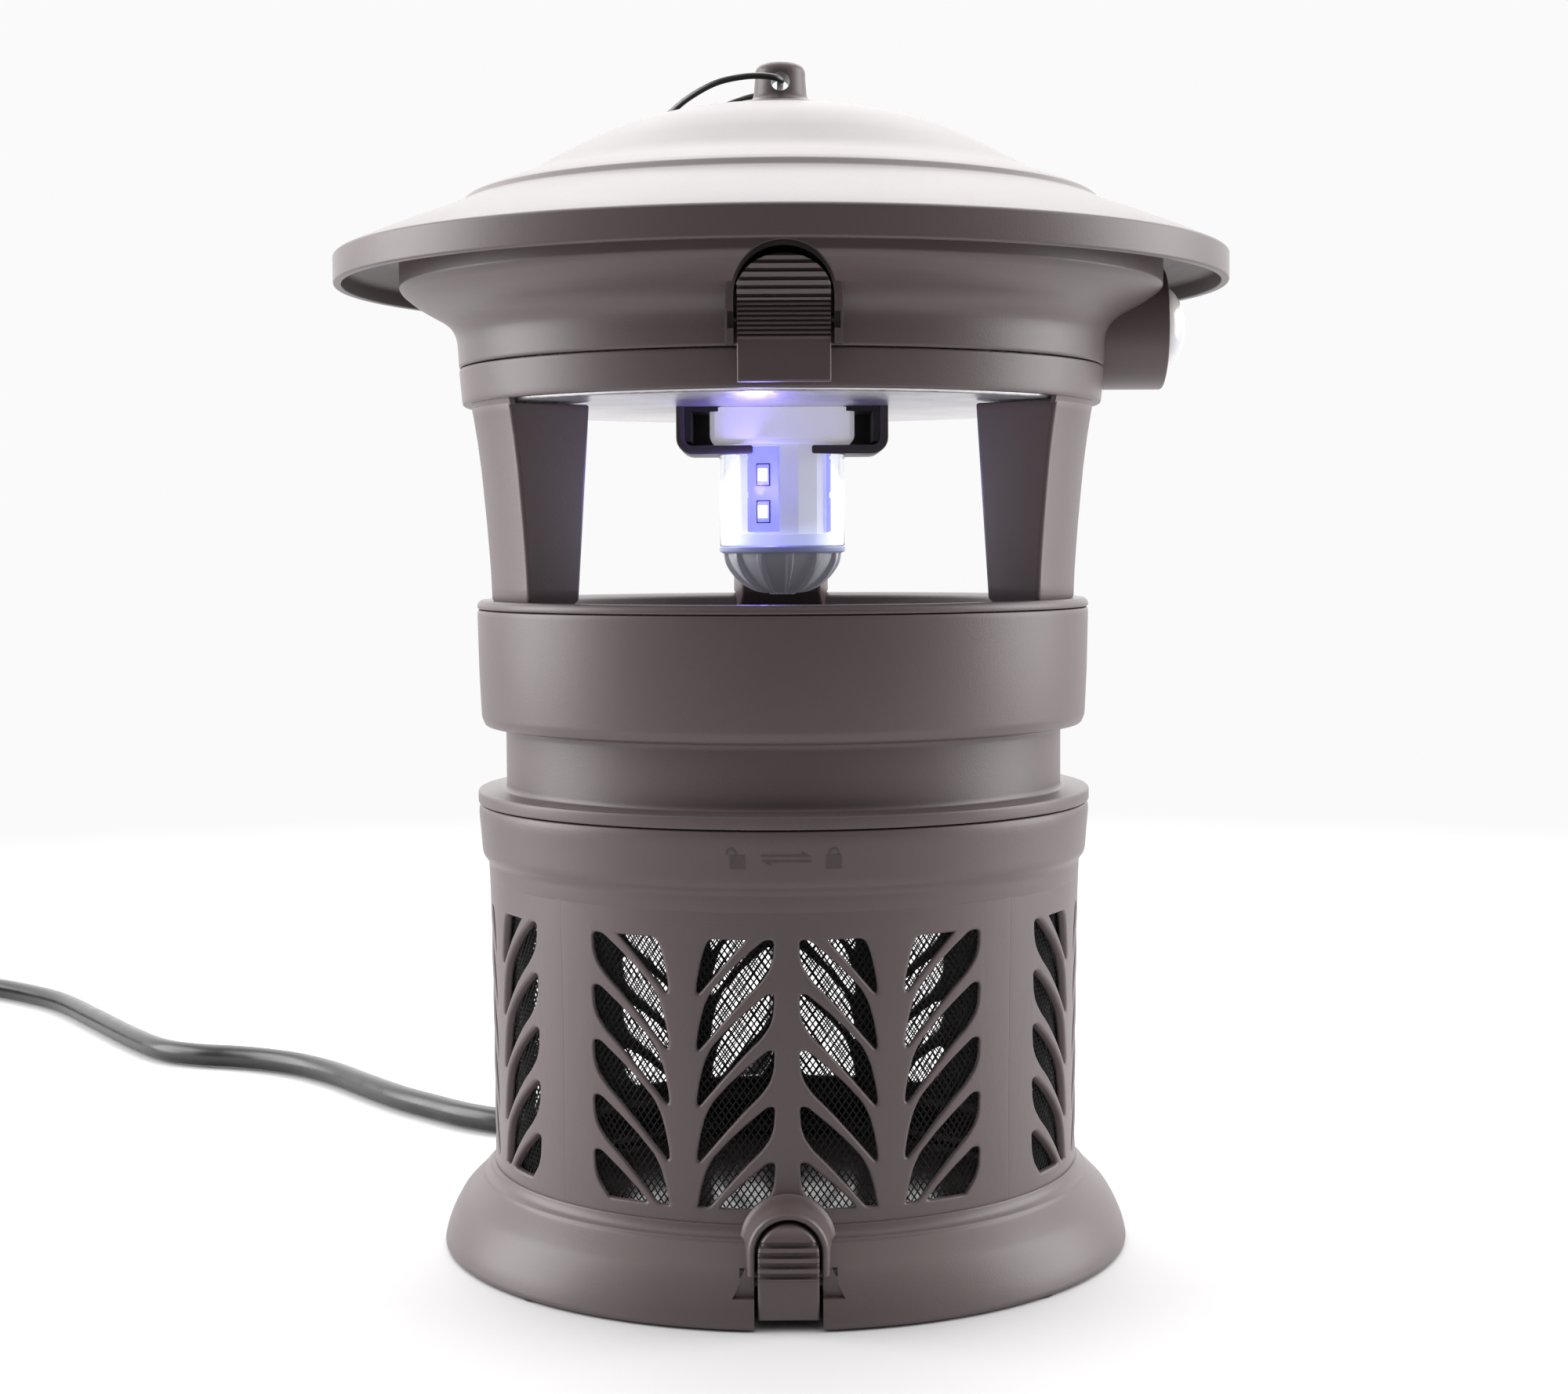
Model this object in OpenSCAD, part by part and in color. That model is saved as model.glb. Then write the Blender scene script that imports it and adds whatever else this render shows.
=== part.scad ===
/* [Overall] */
// Diameter of the roof brim
brim_d = 250; // [246:1:254]
// Height from the floor to the top of the hanger post
total_h = 332.4; // [332:0.2:334]
// Wall thickness of the moulded covers
wall = 2.2; // [1.8:0.1:2.4]

/* [Basket] */
// Outer radius of the basket wall at mid height
basket_r = 83.4; // [83:0.1:84]
// Outer radius of the base flare at the floor
base_r = 97.6; // [97:0.2:98.4]
// Height of the basket with its collar
basket_h = 125.05; // [124.9:0.05:125.1]
// Height of the lowest edge of the windows
win_z0 = 27.2; // [26.5:0.1:28]
// Height of the top edge of the windows
win_z1 = 96.9; // [96:0.1:97.5]
// Vertical pitch of the leaf windows
leaf_pitch = 14.55; // [14.3:0.05:14.7]
// Gap in the wall between two window groups, as the width of the centre rib
rib_w = 5.6; // [4.8:0.1:6.4]

/* [Fan housing and legs] */
// Outer radius of the fan housing band
band_r = 86.5; // [86:0.1:87]
// Radius of the neck under the band
neck_r = 78.8; // [78.6:0.1:79.4]
// Angular width of each leg, in degrees
leg_a = 20.8; // [18:0.2:22]
// Angle of the front legs from the front, in degrees
leg_front_a = 65; // [62:0.5:68]
// Number of fan blades
blades = 7; // [5:1:9]
// Radius of the fan over its blades
fan_r = 70; // [60:1:71]

/* [Head and lamp] */
// Width of the lamp bracket
bracket_w = 59; // [57:0.5:61]
// Outer diameter of the clear lamp tube
lamp_d = 35.6; // [35:0.1:36]
// Number of ribs on the lamp's end cap
cap_ribs = 12; // [10:1:16]
// Distance of the head's hinge axis behind the centre
hinge_y = 95; // [94.8:0.1:95.5]
// Radius of the hanger hole
hang_hole_r = 2.65; // [2.5:0.05:2.7]

/* [Cord] */
// Diameter of the round power cord
cord_d = 8.2; // [7.6:0.1:8.4]

/* [Hidden] */
$fn = 128;
ring_z0 = 236.4;
ring_z1 = 246.35;
cap_z = 182.2;
band_top = 179.5;
flange_z = basket_h + 0.35;
dark_taupe = [0.33, 0.30, 0.29];
taupe = [0.40, 0.37, 0.36];
black = [0.05, 0.05, 0.05];
steel = [0.72, 0.72, 0.74];
post_z = 326.4;
latch_z = 253.1;
latch_y = -93.2;
door_latch_z = 13.1;
door_latch_y = -91;
door_hinge_y = 84.5;
door_hinge_z = 5.4;
coil_c = [-424, 368];
gland_z = 158;
gland_end = 115.6;
cord_route = [
    [0, 116, 158], [0, 119, 157.95], [0, 126.5, 156.2], [0, 137, 150], [0, 146, 139], [0, 150.5, 124], [0, 151.5, 104],
    [0, 151.5, 82], [0, 151.5, 60], [0, 151, 42], [-4.2, 148.6, 22.5], [-15.7, 142, 9.2], [-31.3, 133, 4.2],
    [-52.5, 121, 4.2], [-75, 115, 4.2], [-92, 118.3, 4.2], [-107, 128, 4.2], [-119, 140, 4.2],
    [-133, 155, 4.2], [-148, 175, 4.2], [-163, 196, 4.2], [-179, 213, 4.2], [-194, 223, 4.2],
    [-208, 229, 4.2], [-222, 233, 4.2], [-238, 243, 4.2], [-257, 269, 4.2], [-281, 307, 4.2],
    [-305, 344, 4.2], [-328, 368, 4.2], [-352, 387, 4.2], [-378, 404, 4.2], [-401, 417, 4.2],
    [-424, 421, 4.2]];
cord_tail = [[-473, 352, 11.2], [-473, 339, 12.3], [-473, 324, 11.6], [-473, 310, 10.6], [-473, 303, 10.5]];
loop_route = [
    [0, -9.5, 326.4], [-3.5, -11.5, 325.6], [-9, -9.5, 323.8], [-18, -2, 321.3], [-29, 9, 318.8],
    [-40, 19, 316], [-53, 27, 310.2], [-65, 34, 303], [-73, 42, 299], [-74, 50, 297], [-68, 55, 298],
    [-58, 53, 301.5], [-46, 46, 307.5], [-33, 36, 314], [-20, 26, 319.2], [-10, 17.5, 323], [-3.5, 12, 325.7],
    [0, 9.5, 326.4]];

// ---- curves ----
function catmull(a, b, c, d, t) =
    0.5*((2*b) + (c - a)*t + (2*a - 5*b + 4*c - d)*t*t + (3*b - a - 3*c + d)*t*t*t);
function at(p, i) = p[max(0, min(len(p) - 1, i))];
function smooth(p, m) = [for (i = [0:len(p) - 2]) for (k = [0:m - 1])
    catmull(at(p, i - 1), p[i], p[i + 1], at(p, i + 2), k/m), p[len(p) - 1]];
function unit(v) = v/norm(v);
function tangent(p, i) = unit(at(p, i + 1) - at(p, i - 1));
// Side vectors carried along the path without twist
function sides(p, i, v, out) = i >= len(p) ? out :
    let (t = tangent(p, i), w = unit(v - t*(v*t))) sides(p, i + 1, w, concat(out, [w]));

// A round cord swept along a smooth path
module sweep(path, r, n) {
    side = sides(path, 0, [1, 0.01, 0.02], []);
    m = len(path);
    pts = [for (i = [0:m - 1]) let (t = tangent(path, i), u = side[i], v = cross(t, u))
        for (k = [0:n - 1]) path[i] + r*(u*cos(360*k/n) + v*sin(360*k/n))];
    walls = [for (i = [0:m - 2]) for (k = [0:n - 1]) let (a = i*n + k, b = i*n + (k + 1)%n)
        each [[a, a + n, b], [b, a + n, b + n]]];
    ends = [[for (k = [0:n - 1]) k], [for (k = [n - 1:-1:0]) (m - 1)*n + k]];
    polyhedron(points = pts, faces = concat(walls, ends), convexity = 10);
}

// Angle 0 of a wedge is at the front of the object
module wedge(az, width) {
    rotate([0, 0, az - 90 - width/2]) rotate_extrude(angle = width) children();
}
module along_y(y0, y1) {
    translate([0, y1, 0]) rotate([90, 0, 0]) linear_extrude(y1 - y0) children();
}
module arch(half_w, z_spring, z0) intersection() {
    union() {
        translate([0, z_spring]) circle(half_w);
        translate([-half_w, z0]) square([2*half_w, z_spring - z0]);
    }
    translate([-half_w, z0]) square([2*half_w, z_spring + half_w - z0]);
}
module pin_x(x0, x1, y, z, r) {
    translate([x0, y, z]) rotate([0, 90, 0]) cylinder(h = x1 - x0, r = r, $fn = 48);
}
module screw(r, len, head_r, head_h) {
    translate([0, 0, -head_h]) {
        cylinder(h = len + head_h, r = r, $fn = 24);
        cylinder(h = head_h, r = head_r, $fn = 32);
    }
}

// ---- basket ----
leaf_w = 21.4;
leaf = [[0.4, -0.6], [0.9, -0.1], [2.2, -0.1], [7.5, -4.6], [12, -8.9], [16.4, -13.9], [18.2, -17.6],
    [19.3, -21.6], [20.2, -26.4], [20.4, -28.9], [19.9, -29.6], [19.2, -28.9], [13, -21.5], [7.5, -15.3],
    [4, -11.8], [1.6, -8.4], [0.7, -5.5]];

module window_column() {
    intersection() {
        translate([0, win_z0]) square([leaf_w, win_z1 - win_z0]);
        union() for (k = [-2:4]) translate([0, win_z1 + 0.7 - k*leaf_pitch]) polygon(leaf);
    }
}
module window_group() {
    col_x = rib_w/2;
    for (s = [0, 1]) mirror([s, 0]) {
        translate([col_x, 0]) window_column();
        translate([col_x + 2*leaf_w + 5.2, 0]) mirror([1, 0]) window_column();
    }
}
module basket_shell() {
    difference() {
        rotate_extrude() polygon([[basket_r - wall, 22], [basket_r - wall, 107], [79.6, 109.5],
            [79.6, basket_h], [86.4, basket_h], [86.6, basket_h - 0.3], [86.6, 122], [85.8, 112], [85.5, 110.6],
            [basket_r + 0.6, 108.8], [basket_r + 0.25, 96], [basket_r - 0.1, 63], [basket_r - 0.3, 29],
            [basket_r - 0.2, 21.5], [85.3, 19.8], [88, 17.7], [90.5, 15.6], [92.5, 13.5], [95, 9.1],
            [96.8, 4.7], [base_r, 0.8], [base_r - 2.4, 0.8], [94.4, 4.7], [92.6, 9], [90, 13.2],
            [87, 16.4], [84.5, 18.4], [81.6, 19.5]]);
        rotate_extrude() translate([80.5, 122.9]) square([4, 3]);
    }
}
module catch_basket() color(taupe) difference() {
    union() {
        difference() {
            basket_shell();
            for (a = [0:90:270]) rotate([0, 0, a]) along_y(-90, -70) window_group();
            along_y(-110, -86) arch(8.5, 20.6, -5);
            along_y(-110, -81) translate([-12.2, 8]) square([24.4, 10.2]);
        }
        // bayonet ledges inside the collar, with three entry gaps between them
        for (a = [60:120:300]) wedge(a, 84) translate([78.2, 118]) square([1.6, 3]);
        // arched pocket of the bottom latch
        difference() {
            along_y(-95.5, -82.6) difference() {
                arch(10.9, 20.4, 0.8);
                arch(8.35, 20.4, 0);
            }
            along_y(-96, -84.5) translate([-9.8, 9.6]) square([19.6, 7]);
            cylinder(h = 40, r = 81.3);
        }
        along_y(-84.6, -82.2) arch(9, 20.4, 10);
        // cheeks that hold the latch pin
        for (s = [-1, 1]) translate([s*11.2 - 1.4, -94.6, 9.4]) cube([2.8, 11, 7.4]);
        // inner rim that the door closes against
        rotate_extrude() polygon([[78.2, 10.2], [92.4, 10.2], [91.2, 12.2], [78.2, 12.2]]);
        // hinge ears for the door
        for (s = [-1, 1]) translate([s*9.5 - 2.5, door_hinge_y - 3.4, door_hinge_z - 3.2]) cube([5, 6.8, 8.4]);
    }
    pin_x(-20, 20, door_latch_y, door_latch_z, 1.45);
    pin_x(-20, 20, door_hinge_y, door_hinge_z, 1.45);
    // way for the latch hook through the inner rim
    translate([-8.4, -94, 0]) cube([16.8, 12, 12.6]);
    translate([-6.6, 76, 1]) cube([13.2, 12.6, 12.3]);
}
module mesh_liner() color([0.12, 0.12, 0.12]) rotate_extrude()
    translate([basket_r - wall - 1.0, 22.5]) square([0.7, 80]);
module rubber_feet() color(black) for (a = [45:90:315]) rotate([0, 0, a])
    translate([94.1, 0, 0]) difference() {
        cylinder(h = 5, r = 3.2, $fn = 32);
        translate([0, 0, 0.8]) difference() {
            translate([-6, -6, 0]) cube([12, 12, 6]);
            translate([-94.1, 0, -1]) cylinder(h = 8, r = 94.3);
        }
    }
module door_hinge_pin() color(steel) pin_x(-12, 12, door_hinge_y, door_hinge_z, 1.45);
module bottom_latch_pin() color(steel) pin_x(-12.4, 12.4, door_latch_y, door_latch_z, 1.45);
module bottom_door() color(dark_taupe) difference() {
    union() {
        translate([0, 0, 7.4]) cylinder(h = 2.2, r = 77.6);
        rotate_extrude() translate([72, 3.4]) square([2.2, 4.1]);
        for (a = [0:60:120]) rotate([0, 0, a]) translate([-72.5, -1, 4.4]) cube([145, 2, 3.1]);
        pin_x(-6.2, 6.2, door_hinge_y, door_hinge_z, 3.2);
        translate([-6.2, 70, 7.4]) cube([12.4, 12.6, 1.4]);
        translate([-6.2, -81.6, 7.4]) cube([12.4, 8, 2.2]);
    }
    pin_x(-20, 20, door_hinge_y, door_hinge_z, 1.5);
}
module bottom_latch() color(taupe) difference() {
    union() {
        intersection() {
            along_y(-97.6, -90.5) arch(7.75, 20.2, 3.4);
            rotate([90, 0, 90]) linear_extrude(20, center = true) polygon([[-96, 3.4], [-96, 13.6],
                [-97.6, 14.4], [-97.4, 25], [-94.6, 28.2], [-92.4, 28.2], [-91.6, 17], [-92.6, 9], [-92.6, 3.4]]);
        }
        pin_x(-7.75, 7.75, door_latch_y, door_latch_z, 2.9);
        translate([-6, -94, 3.4]) cube([12, 9.6, 2]);
    }
    pin_x(-20, 20, door_latch_y, door_latch_z, 1.5);
    for (k = [0:3]) translate([-10, -98.6, 15.6 + 2.6*k]) cube([20, 2.2, 1.1]);
    translate([-2.2, -90.3, 15]) cube([4.4, 3, 5]);
}
module bottom_latch_spring() color(steel) translate([0, -86.1, 21.5]) rotate([90, 0, 0])
    difference() { cylinder(h = 4.1, r = 2.2, $fn = 32); translate([0, 0, -1]) cylinder(h = 9, r = 1.5, $fn = 32); }

// ---- collar seal and cord ----
module collar_seal() color(black) rotate_extrude() translate([80.8, 123.2]) square([3.4, 1.95]);
module power_cord() color(black) {
    sweep(smooth(cord_route, 2), cord_d/2, 10);
    sweep(smooth(cord_tail, 1), cord_d/2, 10);
}
module cord_coil() color(black) translate([coil_c[0], coil_c[1], 0]) rotate_extrude()
    polygon([[33, 0], [57, 0], [57, 8.2], [53, 15.3], [37, 15.3], [33, 8.2]]);
module coil_tie() color([0.2, 0.2, 0.2]) translate([coil_c[0] + 45, coil_c[1], 0]) along_y(-5, 5)
    difference() {
        polygon([[-13.2, 0], [13.2, 0], [13.2, 8.6], [8.6, 16.5], [-8.6, 16.5], [-13.2, 8.6]]);
        polygon([[-12.1, 0], [12.1, 0], [12.1, 8.25], [8.1, 15.4], [-8.1, 15.4], [-12.1, 8.25]]);
    }
module plug_body() color(black) translate([-473, 303, 0]) rotate([90, 0, 0]) union() {
    translate([0, 10.5, 0]) cylinder(h = 12, r1 = 5.2, r2 = 7.4, $fn = 48);
    translate([-12, 0.6, 11.9]) cube([24, 19.8, 18]);
    translate([-13.5, 0, 29.8]) cube([27, 21, 5]);
}
module plug_blades() color([0.8, 0.68, 0.4]) for (s = [-1, 1])
    translate([-473 + s*6.35 - 0.75, 303 - 34.8 - 16, 10.5 - 3.2]) cube([1.5, 16, 6.4]);

// ---- fan housing ----
module fan_housing() color(taupe) difference() {
    union() {
        rotate_extrude() polygon([[84, band_top], [band_r, band_top], [band_r - 0.3, 163], [band_r - 0.9, 149.5],
            [band_r - 1.9, 147], [neck_r, 147], [neck_r, 129], [86.4, 128.9], [86.8, 128.5], [86.8, flange_z],
            [77.4, flange_z], [77.4, 112], [75, 112], [75, 148], [83.9, 150]]);
        for (a = [0:120:240]) wedge(a, 22) translate([77, 114]) square([2, 3.6]);
        // boss that takes the cord gland, and posts for the motor bracket
        translate([0, 83, gland_z]) rotate([-90, 0, 0]) cylinder(h = 3.6, r = 9, $fn = 64);
        for (a = [30:120:270]) rotate([0, 0, a]) translate([78.2, 0, 147.4]) cylinder(h = 6.6, r = 4, $fn = 48);
    }
    translate([0, 60, gland_z]) rotate([-90, 0, 0]) cylinder(h = 40, r = 6, $fn = 64);
    for (a = [30:120:270]) rotate([0, 0, a]) translate([78.2, 0, 148]) cylinder(h = 9, r = 1.25, $fn = 32);
}
module top_cap() color(taupe) difference() {
    rotate_extrude() polygon([[72, 171.4], [72.4, 169.8], [83.4, 178], [83.4, 179.8], [band_r, 179.8],
        [band_r, 181.2], [band_r - 1, cap_z], [82, cap_z], [79.6, 181]]);
    for (a = leg_angles) rotate([0, 0, a - 90]) translate([77.4, 0, 165]) {
        cylinder(h = 20, r = 1.7, $fn = 32);
        cylinder(h = 8.45, r = 3.6, $fn = 48);
    }
}
leg_angles = [leg_front_a, -leg_front_a, 180];
module leg_cage() color(taupe) difference() {
    union() {
        rotate_extrude() polygon([[87, ring_z0], [89.9, ring_z0], [90.7, ring_z1 - 0.3], [90.5, ring_z1],
            [87.7, ring_z1]]);
        for (a = leg_angles) wedge(a, leg_a) polygon([[67.4, cap_z], [83.3, cap_z], [83.6, 190], [84, 196],
            [85.9, 218], [88, 233], [88.9, ring_z0 + 1], [87.1, ring_z0 + 1], [87.1, 235.2], [63.5, 235.2]]);
        pin_x(-6.7, 6.7, hinge_y, 247, 3.4);
        translate([-6.7, 88.4, 239.5]) cube([13.4, 6.6, 5.6]);
    }
    pin_x(-20, 20, hinge_y, 247, 1.5);
    for (a = leg_angles) rotate([0, 0, a - 90]) translate([77.4, 0, 180]) cylinder(h = 14, r = 1.5, $fn = 32);
}
module leg_screws() color(steel) for (a = leg_angles) rotate([0, 0, a - 90])
    translate([77.4, 0, 173.4]) difference() {
        screw(1.5, 18, 3.2, 2);
        translate([0, 0, -2.5]) cylinder(h = 1.5, r = 1.4, $fn = 6);
    }
module fan_grille() color(dark_taupe) {
    difference() {
        union() {
            for (r = [16, 30, 44, 58]) difference() {
                translate([0, 0, 172.2]) cylinder(h = 2, r = r);
                translate([0, 0, 172]) cylinder(h = 3, r = r - 1.8);
            }
            difference() {
                union() for (a = [0:45:135]) rotate([0, 0, a]) translate([-71.5, -0.9, 172.2]) cube([143, 1.8, 1.9]);
                translate([0, 0, 172]) cylinder(h = 3, r = 14.5);
            }
            difference() {
                translate([0, 0, 171.4]) cylinder(h = 2.8, r = 72);
                translate([0, 0, 171]) cylinder(h = 4, r = 70);
            }
        }
    }
}
module motor_bracket() color(dark_taupe) difference() {
    union() {
        translate([0, 0, 151.4]) cylinder(h = 2.6, r = 21);
        difference() {
            translate([0, 0, 133]) cylinder(h = 19, r = 21);
            translate([0, 0, 132]) cylinder(h = 21, r = 18.6);
        }
        for (a = [30:120:270]) rotate([0, 0, a]) {
            translate([20, -4, 151.4]) cube([55, 8, 2.6]);
            translate([70, -4, 151.4]) cube([8.2, 8, 4.9]);
            translate([78.2, 0, 154]) cylinder(h = 2.3, r = 4, $fn = 48);
        }
    }
    translate([0, 0, 150]) cylinder(h = 6, r = 5, $fn = 48);
    for (a = [30:120:270]) rotate([0, 0, a]) translate([78.2, 0, 150]) cylinder(h = 9, r = 1.7, $fn = 32);
    for (a = [30:120:270]) rotate([0, 0, a]) translate([78.2, 0, 147]) cylinder(h = 7, r = 4.1, $fn = 48);
    for (a = [90, 270]) rotate([0, 0, a]) translate([11, 0, 150]) cylinder(h = 9, r = 1.3, $fn = 32);
}
module fan_motor() color(steel) difference() {
    union() {
        translate([0, 0, 129.4]) cylinder(h = 22, r = 17.6);
        translate([0, 0, 151.3]) cylinder(h = 2.4, r = 4.6, $fn = 48);
        translate([-9, -14, 127.4]) cube([18, 28, 2.1]);
    }
    translate([0, 0, 135]) cylinder(h = 30, r = 1.55, $fn = 48);
    for (a = [90, 270]) rotate([0, 0, a]) translate([11, 0, 145.4]) cylinder(h = 9, r = 1.25, $fn = 32);
}
module motor_screws() color(steel) {
    for (a = [90, 270]) rotate([0, 0, a]) translate([11, 0, 154]) rotate([180, 0, 0]) screw(1.25, 7, 2.6, 1.6);
    for (a = [30:120:270]) rotate([0, 0, a]) translate([78.2, 0, 156.3]) rotate([180, 0, 0])
        screw(1.25, 8, 2.8, 1.8);
}
module cord_gland() color(black) translate([0, 0, gland_z]) rotate([-90, 0, 0]) difference() {
    union() {
        translate([0, 0, 80]) cylinder(h = 8, r = 5.9, $fn = 64);
        translate([0, 0, 86.6]) cylinder(h = 2.4, r = 8.4, $fn = 64);
        translate([0, 0, 88.9]) cylinder(h = gland_end - 88.9, r1 = 7, r2 = 5, $fn = 64);
    }
    translate([0, 0, 79]) cylinder(h = 12, r = 2.2, $fn = 32);
}
module head_hinge_pin() color(steel) pin_x(-14.4, 14.4, hinge_y, 247, 1.45);

// ---- fan rotor ----
module fan_rotor() color([0.15, 0.15, 0.16]) difference() {
    union() {
        translate([0, 0, 157.6]) cylinder(h = 10.4, r = 19);
        for (k = [0:blades - 1]) rotate([0, 0, k*360/blades]) translate([17, 0, 162.8]) rotate([28, 0, 0])
            intersection() {
                translate([0, -17, -0.8]) cube([fan_r - 17, 31, 1.6]);
                translate([-17, 0, -20]) cylinder(h = 40, r = fan_r - 3);
            }
    }
    translate([0, 0, 155]) cylinder(h = 30, r = 1.5, $fn = 48);
    difference() {
        translate([0, 0, 157]) cylinder(h = 8.4, r = 16.8);
        translate([0, 0, 156]) cylinder(h = 10, r = 4.4, $fn = 48);
    }
}
module motor_shaft() color(steel) translate([0, 0, 139]) cylinder(h = 28, r = 1.5, $fn = 48);

// ---- head ----
module roof_outline() polygon([[3.2, 318.9], [16, 318.5], [25, 317.8], [33, 316.9], [42, 314.4], [49, 311.9],
    [58, 307.6], [66, 303.2], [74, 298.9], [81.5, 296.5], [86.6, 294.7], [89.6, 292.9], [90.2, 291.2],
    [101.5, 287], [108, 284.8], [115.8, 282.2], [120.5, 280], [123.8, 277.6], [brim_d/2, 275.4],
    [brim_d/2, 269.2], [brim_d/2 - wall, 269.2], [brim_d/2 - wall, 274.6], [119.6, 277.6], [108, 282.2],
    [88.4, 288.9], [87.4, 291.4], [74, 296], [66, 300.4], [58, 305], [49, 309.4], [33, 314.4], [3.2, 316.2]]);
module roof() color(taupe) difference() {
    union() {
        rotate_extrude() roof_outline();
        for (a = [45:90:315]) rotate([0, 0, a]) translate([60, 0, 251.1]) cylinder(h = 52.6, r = 4, $fn = 48);
    }
    for (a = [45:90:315]) rotate([0, 0, a]) translate([60, 0, 250]) cylinder(h = 20, r = 1.6, $fn = 32);
}
module roof_screws() color(steel) for (a = [45:90:315]) rotate([0, 0, a])
    translate([60, 0, 248.5]) screw(1.6, 16, 3.3, 2);
module head_housing() color(taupe) difference() {
    union() {
        difference() {
            rotate_extrude() polygon([[104.4, 281.5], [107, 281.5], [107, 268], [106.2, 267], [102.5, 264.2],
                [98.7, 262], [95.6, 260.4], [93.1, 258.5], [91.7, 256.2], [91.1, 253.8], [90.7, 247], [90.5, 246.65],
                [88, 246.65], [88, 248.6], [0, 248.6], [0, 251], [88.4, 251], [89, 257.6], [91, 260.2],
                [96, 263.2], [102, 267.6], [104.4, 269.4]]);
            along_y(-112, -91) arch(13.1, 257.9, 240);
        }
        // arched pocket of the top latch
        along_y(-97.2, -88.4) difference() { arch(14.5, 257.9, 247); arch(13.1, 257.9, 240); }
        intersection() {
            along_y(-91.2, -88.4) arch(14.5, 257.9, 247);
            rotate_extrude() translate([0, 240]) square([91.2, 40]);
        }
        // barrel of the light sensor
        translate([92.2, 0, 258]) rotate([0, 90, 0]) cylinder(h = 15.6, r = 17.2);
        intersection() {
            translate([86, 0, 258]) rotate([0, 90, 0]) cylinder(h = 8, r = 17.2);
            translate([80, -20, 246.65]) cube([20, 40, 30]);
        }
        // rear hinge knuckles
        for (s = [-1, 1]) {
            pin_x(s*10.7 - 3.7, s*10.7 + 3.7, hinge_y, 247, 3.4);
            translate([s*10.7 - 3.7, 88.8, 247.6]) cube([7.4, 7.6, 6]);
        }
    }
    translate([100.8, 0, 258]) rotate([0, 90, 0]) cylinder(h = 9, r = 14.6);
    pin_x(-30, 30, hinge_y, 247, 1.45);
    pin_x(-16, 16, latch_y, latch_z, 1.2);
    for (a = [45:90:315]) rotate([0, 0, a]) translate([60, 0, 248]) cylinder(h = 4, r = 1.6, $fn = 32);
    // wiring passage to the lamp
    translate([0, 0, 248]) cylinder(h = 4, r = 9, $fn = 64);
}
module hanger_post() color(taupe) difference() {
    union() {
        rotate_extrude() polygon(concat([[0, 318.9], [16.4, 318.9], [16.2, 319.9], [15, 320.4], [9.4, 321.2],
            [8, 322.2], [7.5, 323.4], [7.1, 328]],
            [for (a = [0:15:90]) [4.1 + 3*cos(a), total_h - 3 + 3*sin(a)]], [[0, total_h]]));
        translate([0, 0, 306]) cylinder(h = 13, r = 3, $fn = 48);
    }
    along_y(-20, 20) translate([0, post_z]) circle(hang_hole_r, $fn = 48);
}
module hanger_nut() color(steel) translate([0, 0, 310.4]) difference() {
    union() {
        cylinder(h = 4, r = 6.2, $fn = 6);
        translate([0, 0, 3.9]) cylinder(h = 1.3, r = 8, $fn = 48);
    }
    translate([0, 0, -1]) cylinder(h = 8, r = 3.05, $fn = 48);
}
module reflector_plate() color([0.85, 0.85, 0.86]) difference() {
    rotate_extrude() polygon([[0, 235.8], [85.4, 235.8], [86, 236.3], [86, 248.6], [84.4, 248.6], [84.4, 237.3],
        [0, 237.3]]);
    translate([0, 0, 230]) cylinder(h = 10, r = 9, $fn = 64);
}
module bracket_outline(w, z0, r) {
    hw = w/2;
    polygon(concat([[-hw, 235.8]],
        [for (a = [180:15:270]) [-hw + r + r*cos(a), z0 + r + r*sin(a)]],
        [for (a = [270:15:360]) [hw - r + r*cos(a), z0 + r + r*sin(a)]], [[hw, 235.8]]));
}
module lamp_bracket() color([0.28, 0.22, 0.2]) difference() {
    union() {
        along_y(-16, 16) difference() {
            bracket_outline(bracket_w, 222.6, 4.4);
            bracket_outline(bracket_w - 4.8, 225, 2.4);
        }
        difference() {
            along_y(14, 16) bracket_outline(bracket_w - 2, 223.6, 2.4);
            translate([0, 0, 220]) cylinder(h = 14.2, r = 20.6);
        }
        translate([-28, -14, 234.2]) cube([56, 30, 1.6]);
    }
    translate([0, 0, 221]) cylinder(h = 5, r = lamp_d/2 + 0.2);
    translate([0, 0, 230]) cylinder(h = 10, r = 9, $fn = 64);
}
module lamp_base() color([0.88, 0.88, 0.9]) difference() {
    translate([0, 0, 225.2]) cylinder(h = 9, r = 20.3);
    translate([0, 0, 230.2]) cylinder(h = 5, r = 9, $fn = 64);
}
module lamp_contacts() color([0.8, 0.68, 0.4]) for (s = [-1, 1])
    translate([s*4, 0, 230.2]) cylinder(h = 8, r = 1.2, $fn = 32);
module lamp_tube() color([0.8, 0.85, 0.95, 0.4]) translate([0, 0, 197]) difference() {
    cylinder(h = 28.2, r = lamp_d/2);
    translate([0, 0, -1]) cylinder(h = 31, r = lamp_d/2 - 1.4);
}
module led_core() color([0.75, 0.75, 0.78]) translate([0, 0, 200.4]) rotate([0, 0, -9]) linear_extrude(24.8) difference() {
    circle(12.4, $fn = 12);
    circle(9);
}
module led_strips() color([0.6, 0.6, 1]) for (a = [0:120:240]) rotate([0, 0, a - 24]) {
    translate([-4.6, -12.9, 201]) cube([9.2, 0.9, 23.6]);
    for (z = [203.6, 213.8]) translate([-1.95, -13.9, z]) cube([3.9, 1.1, 6]);
}
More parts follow.
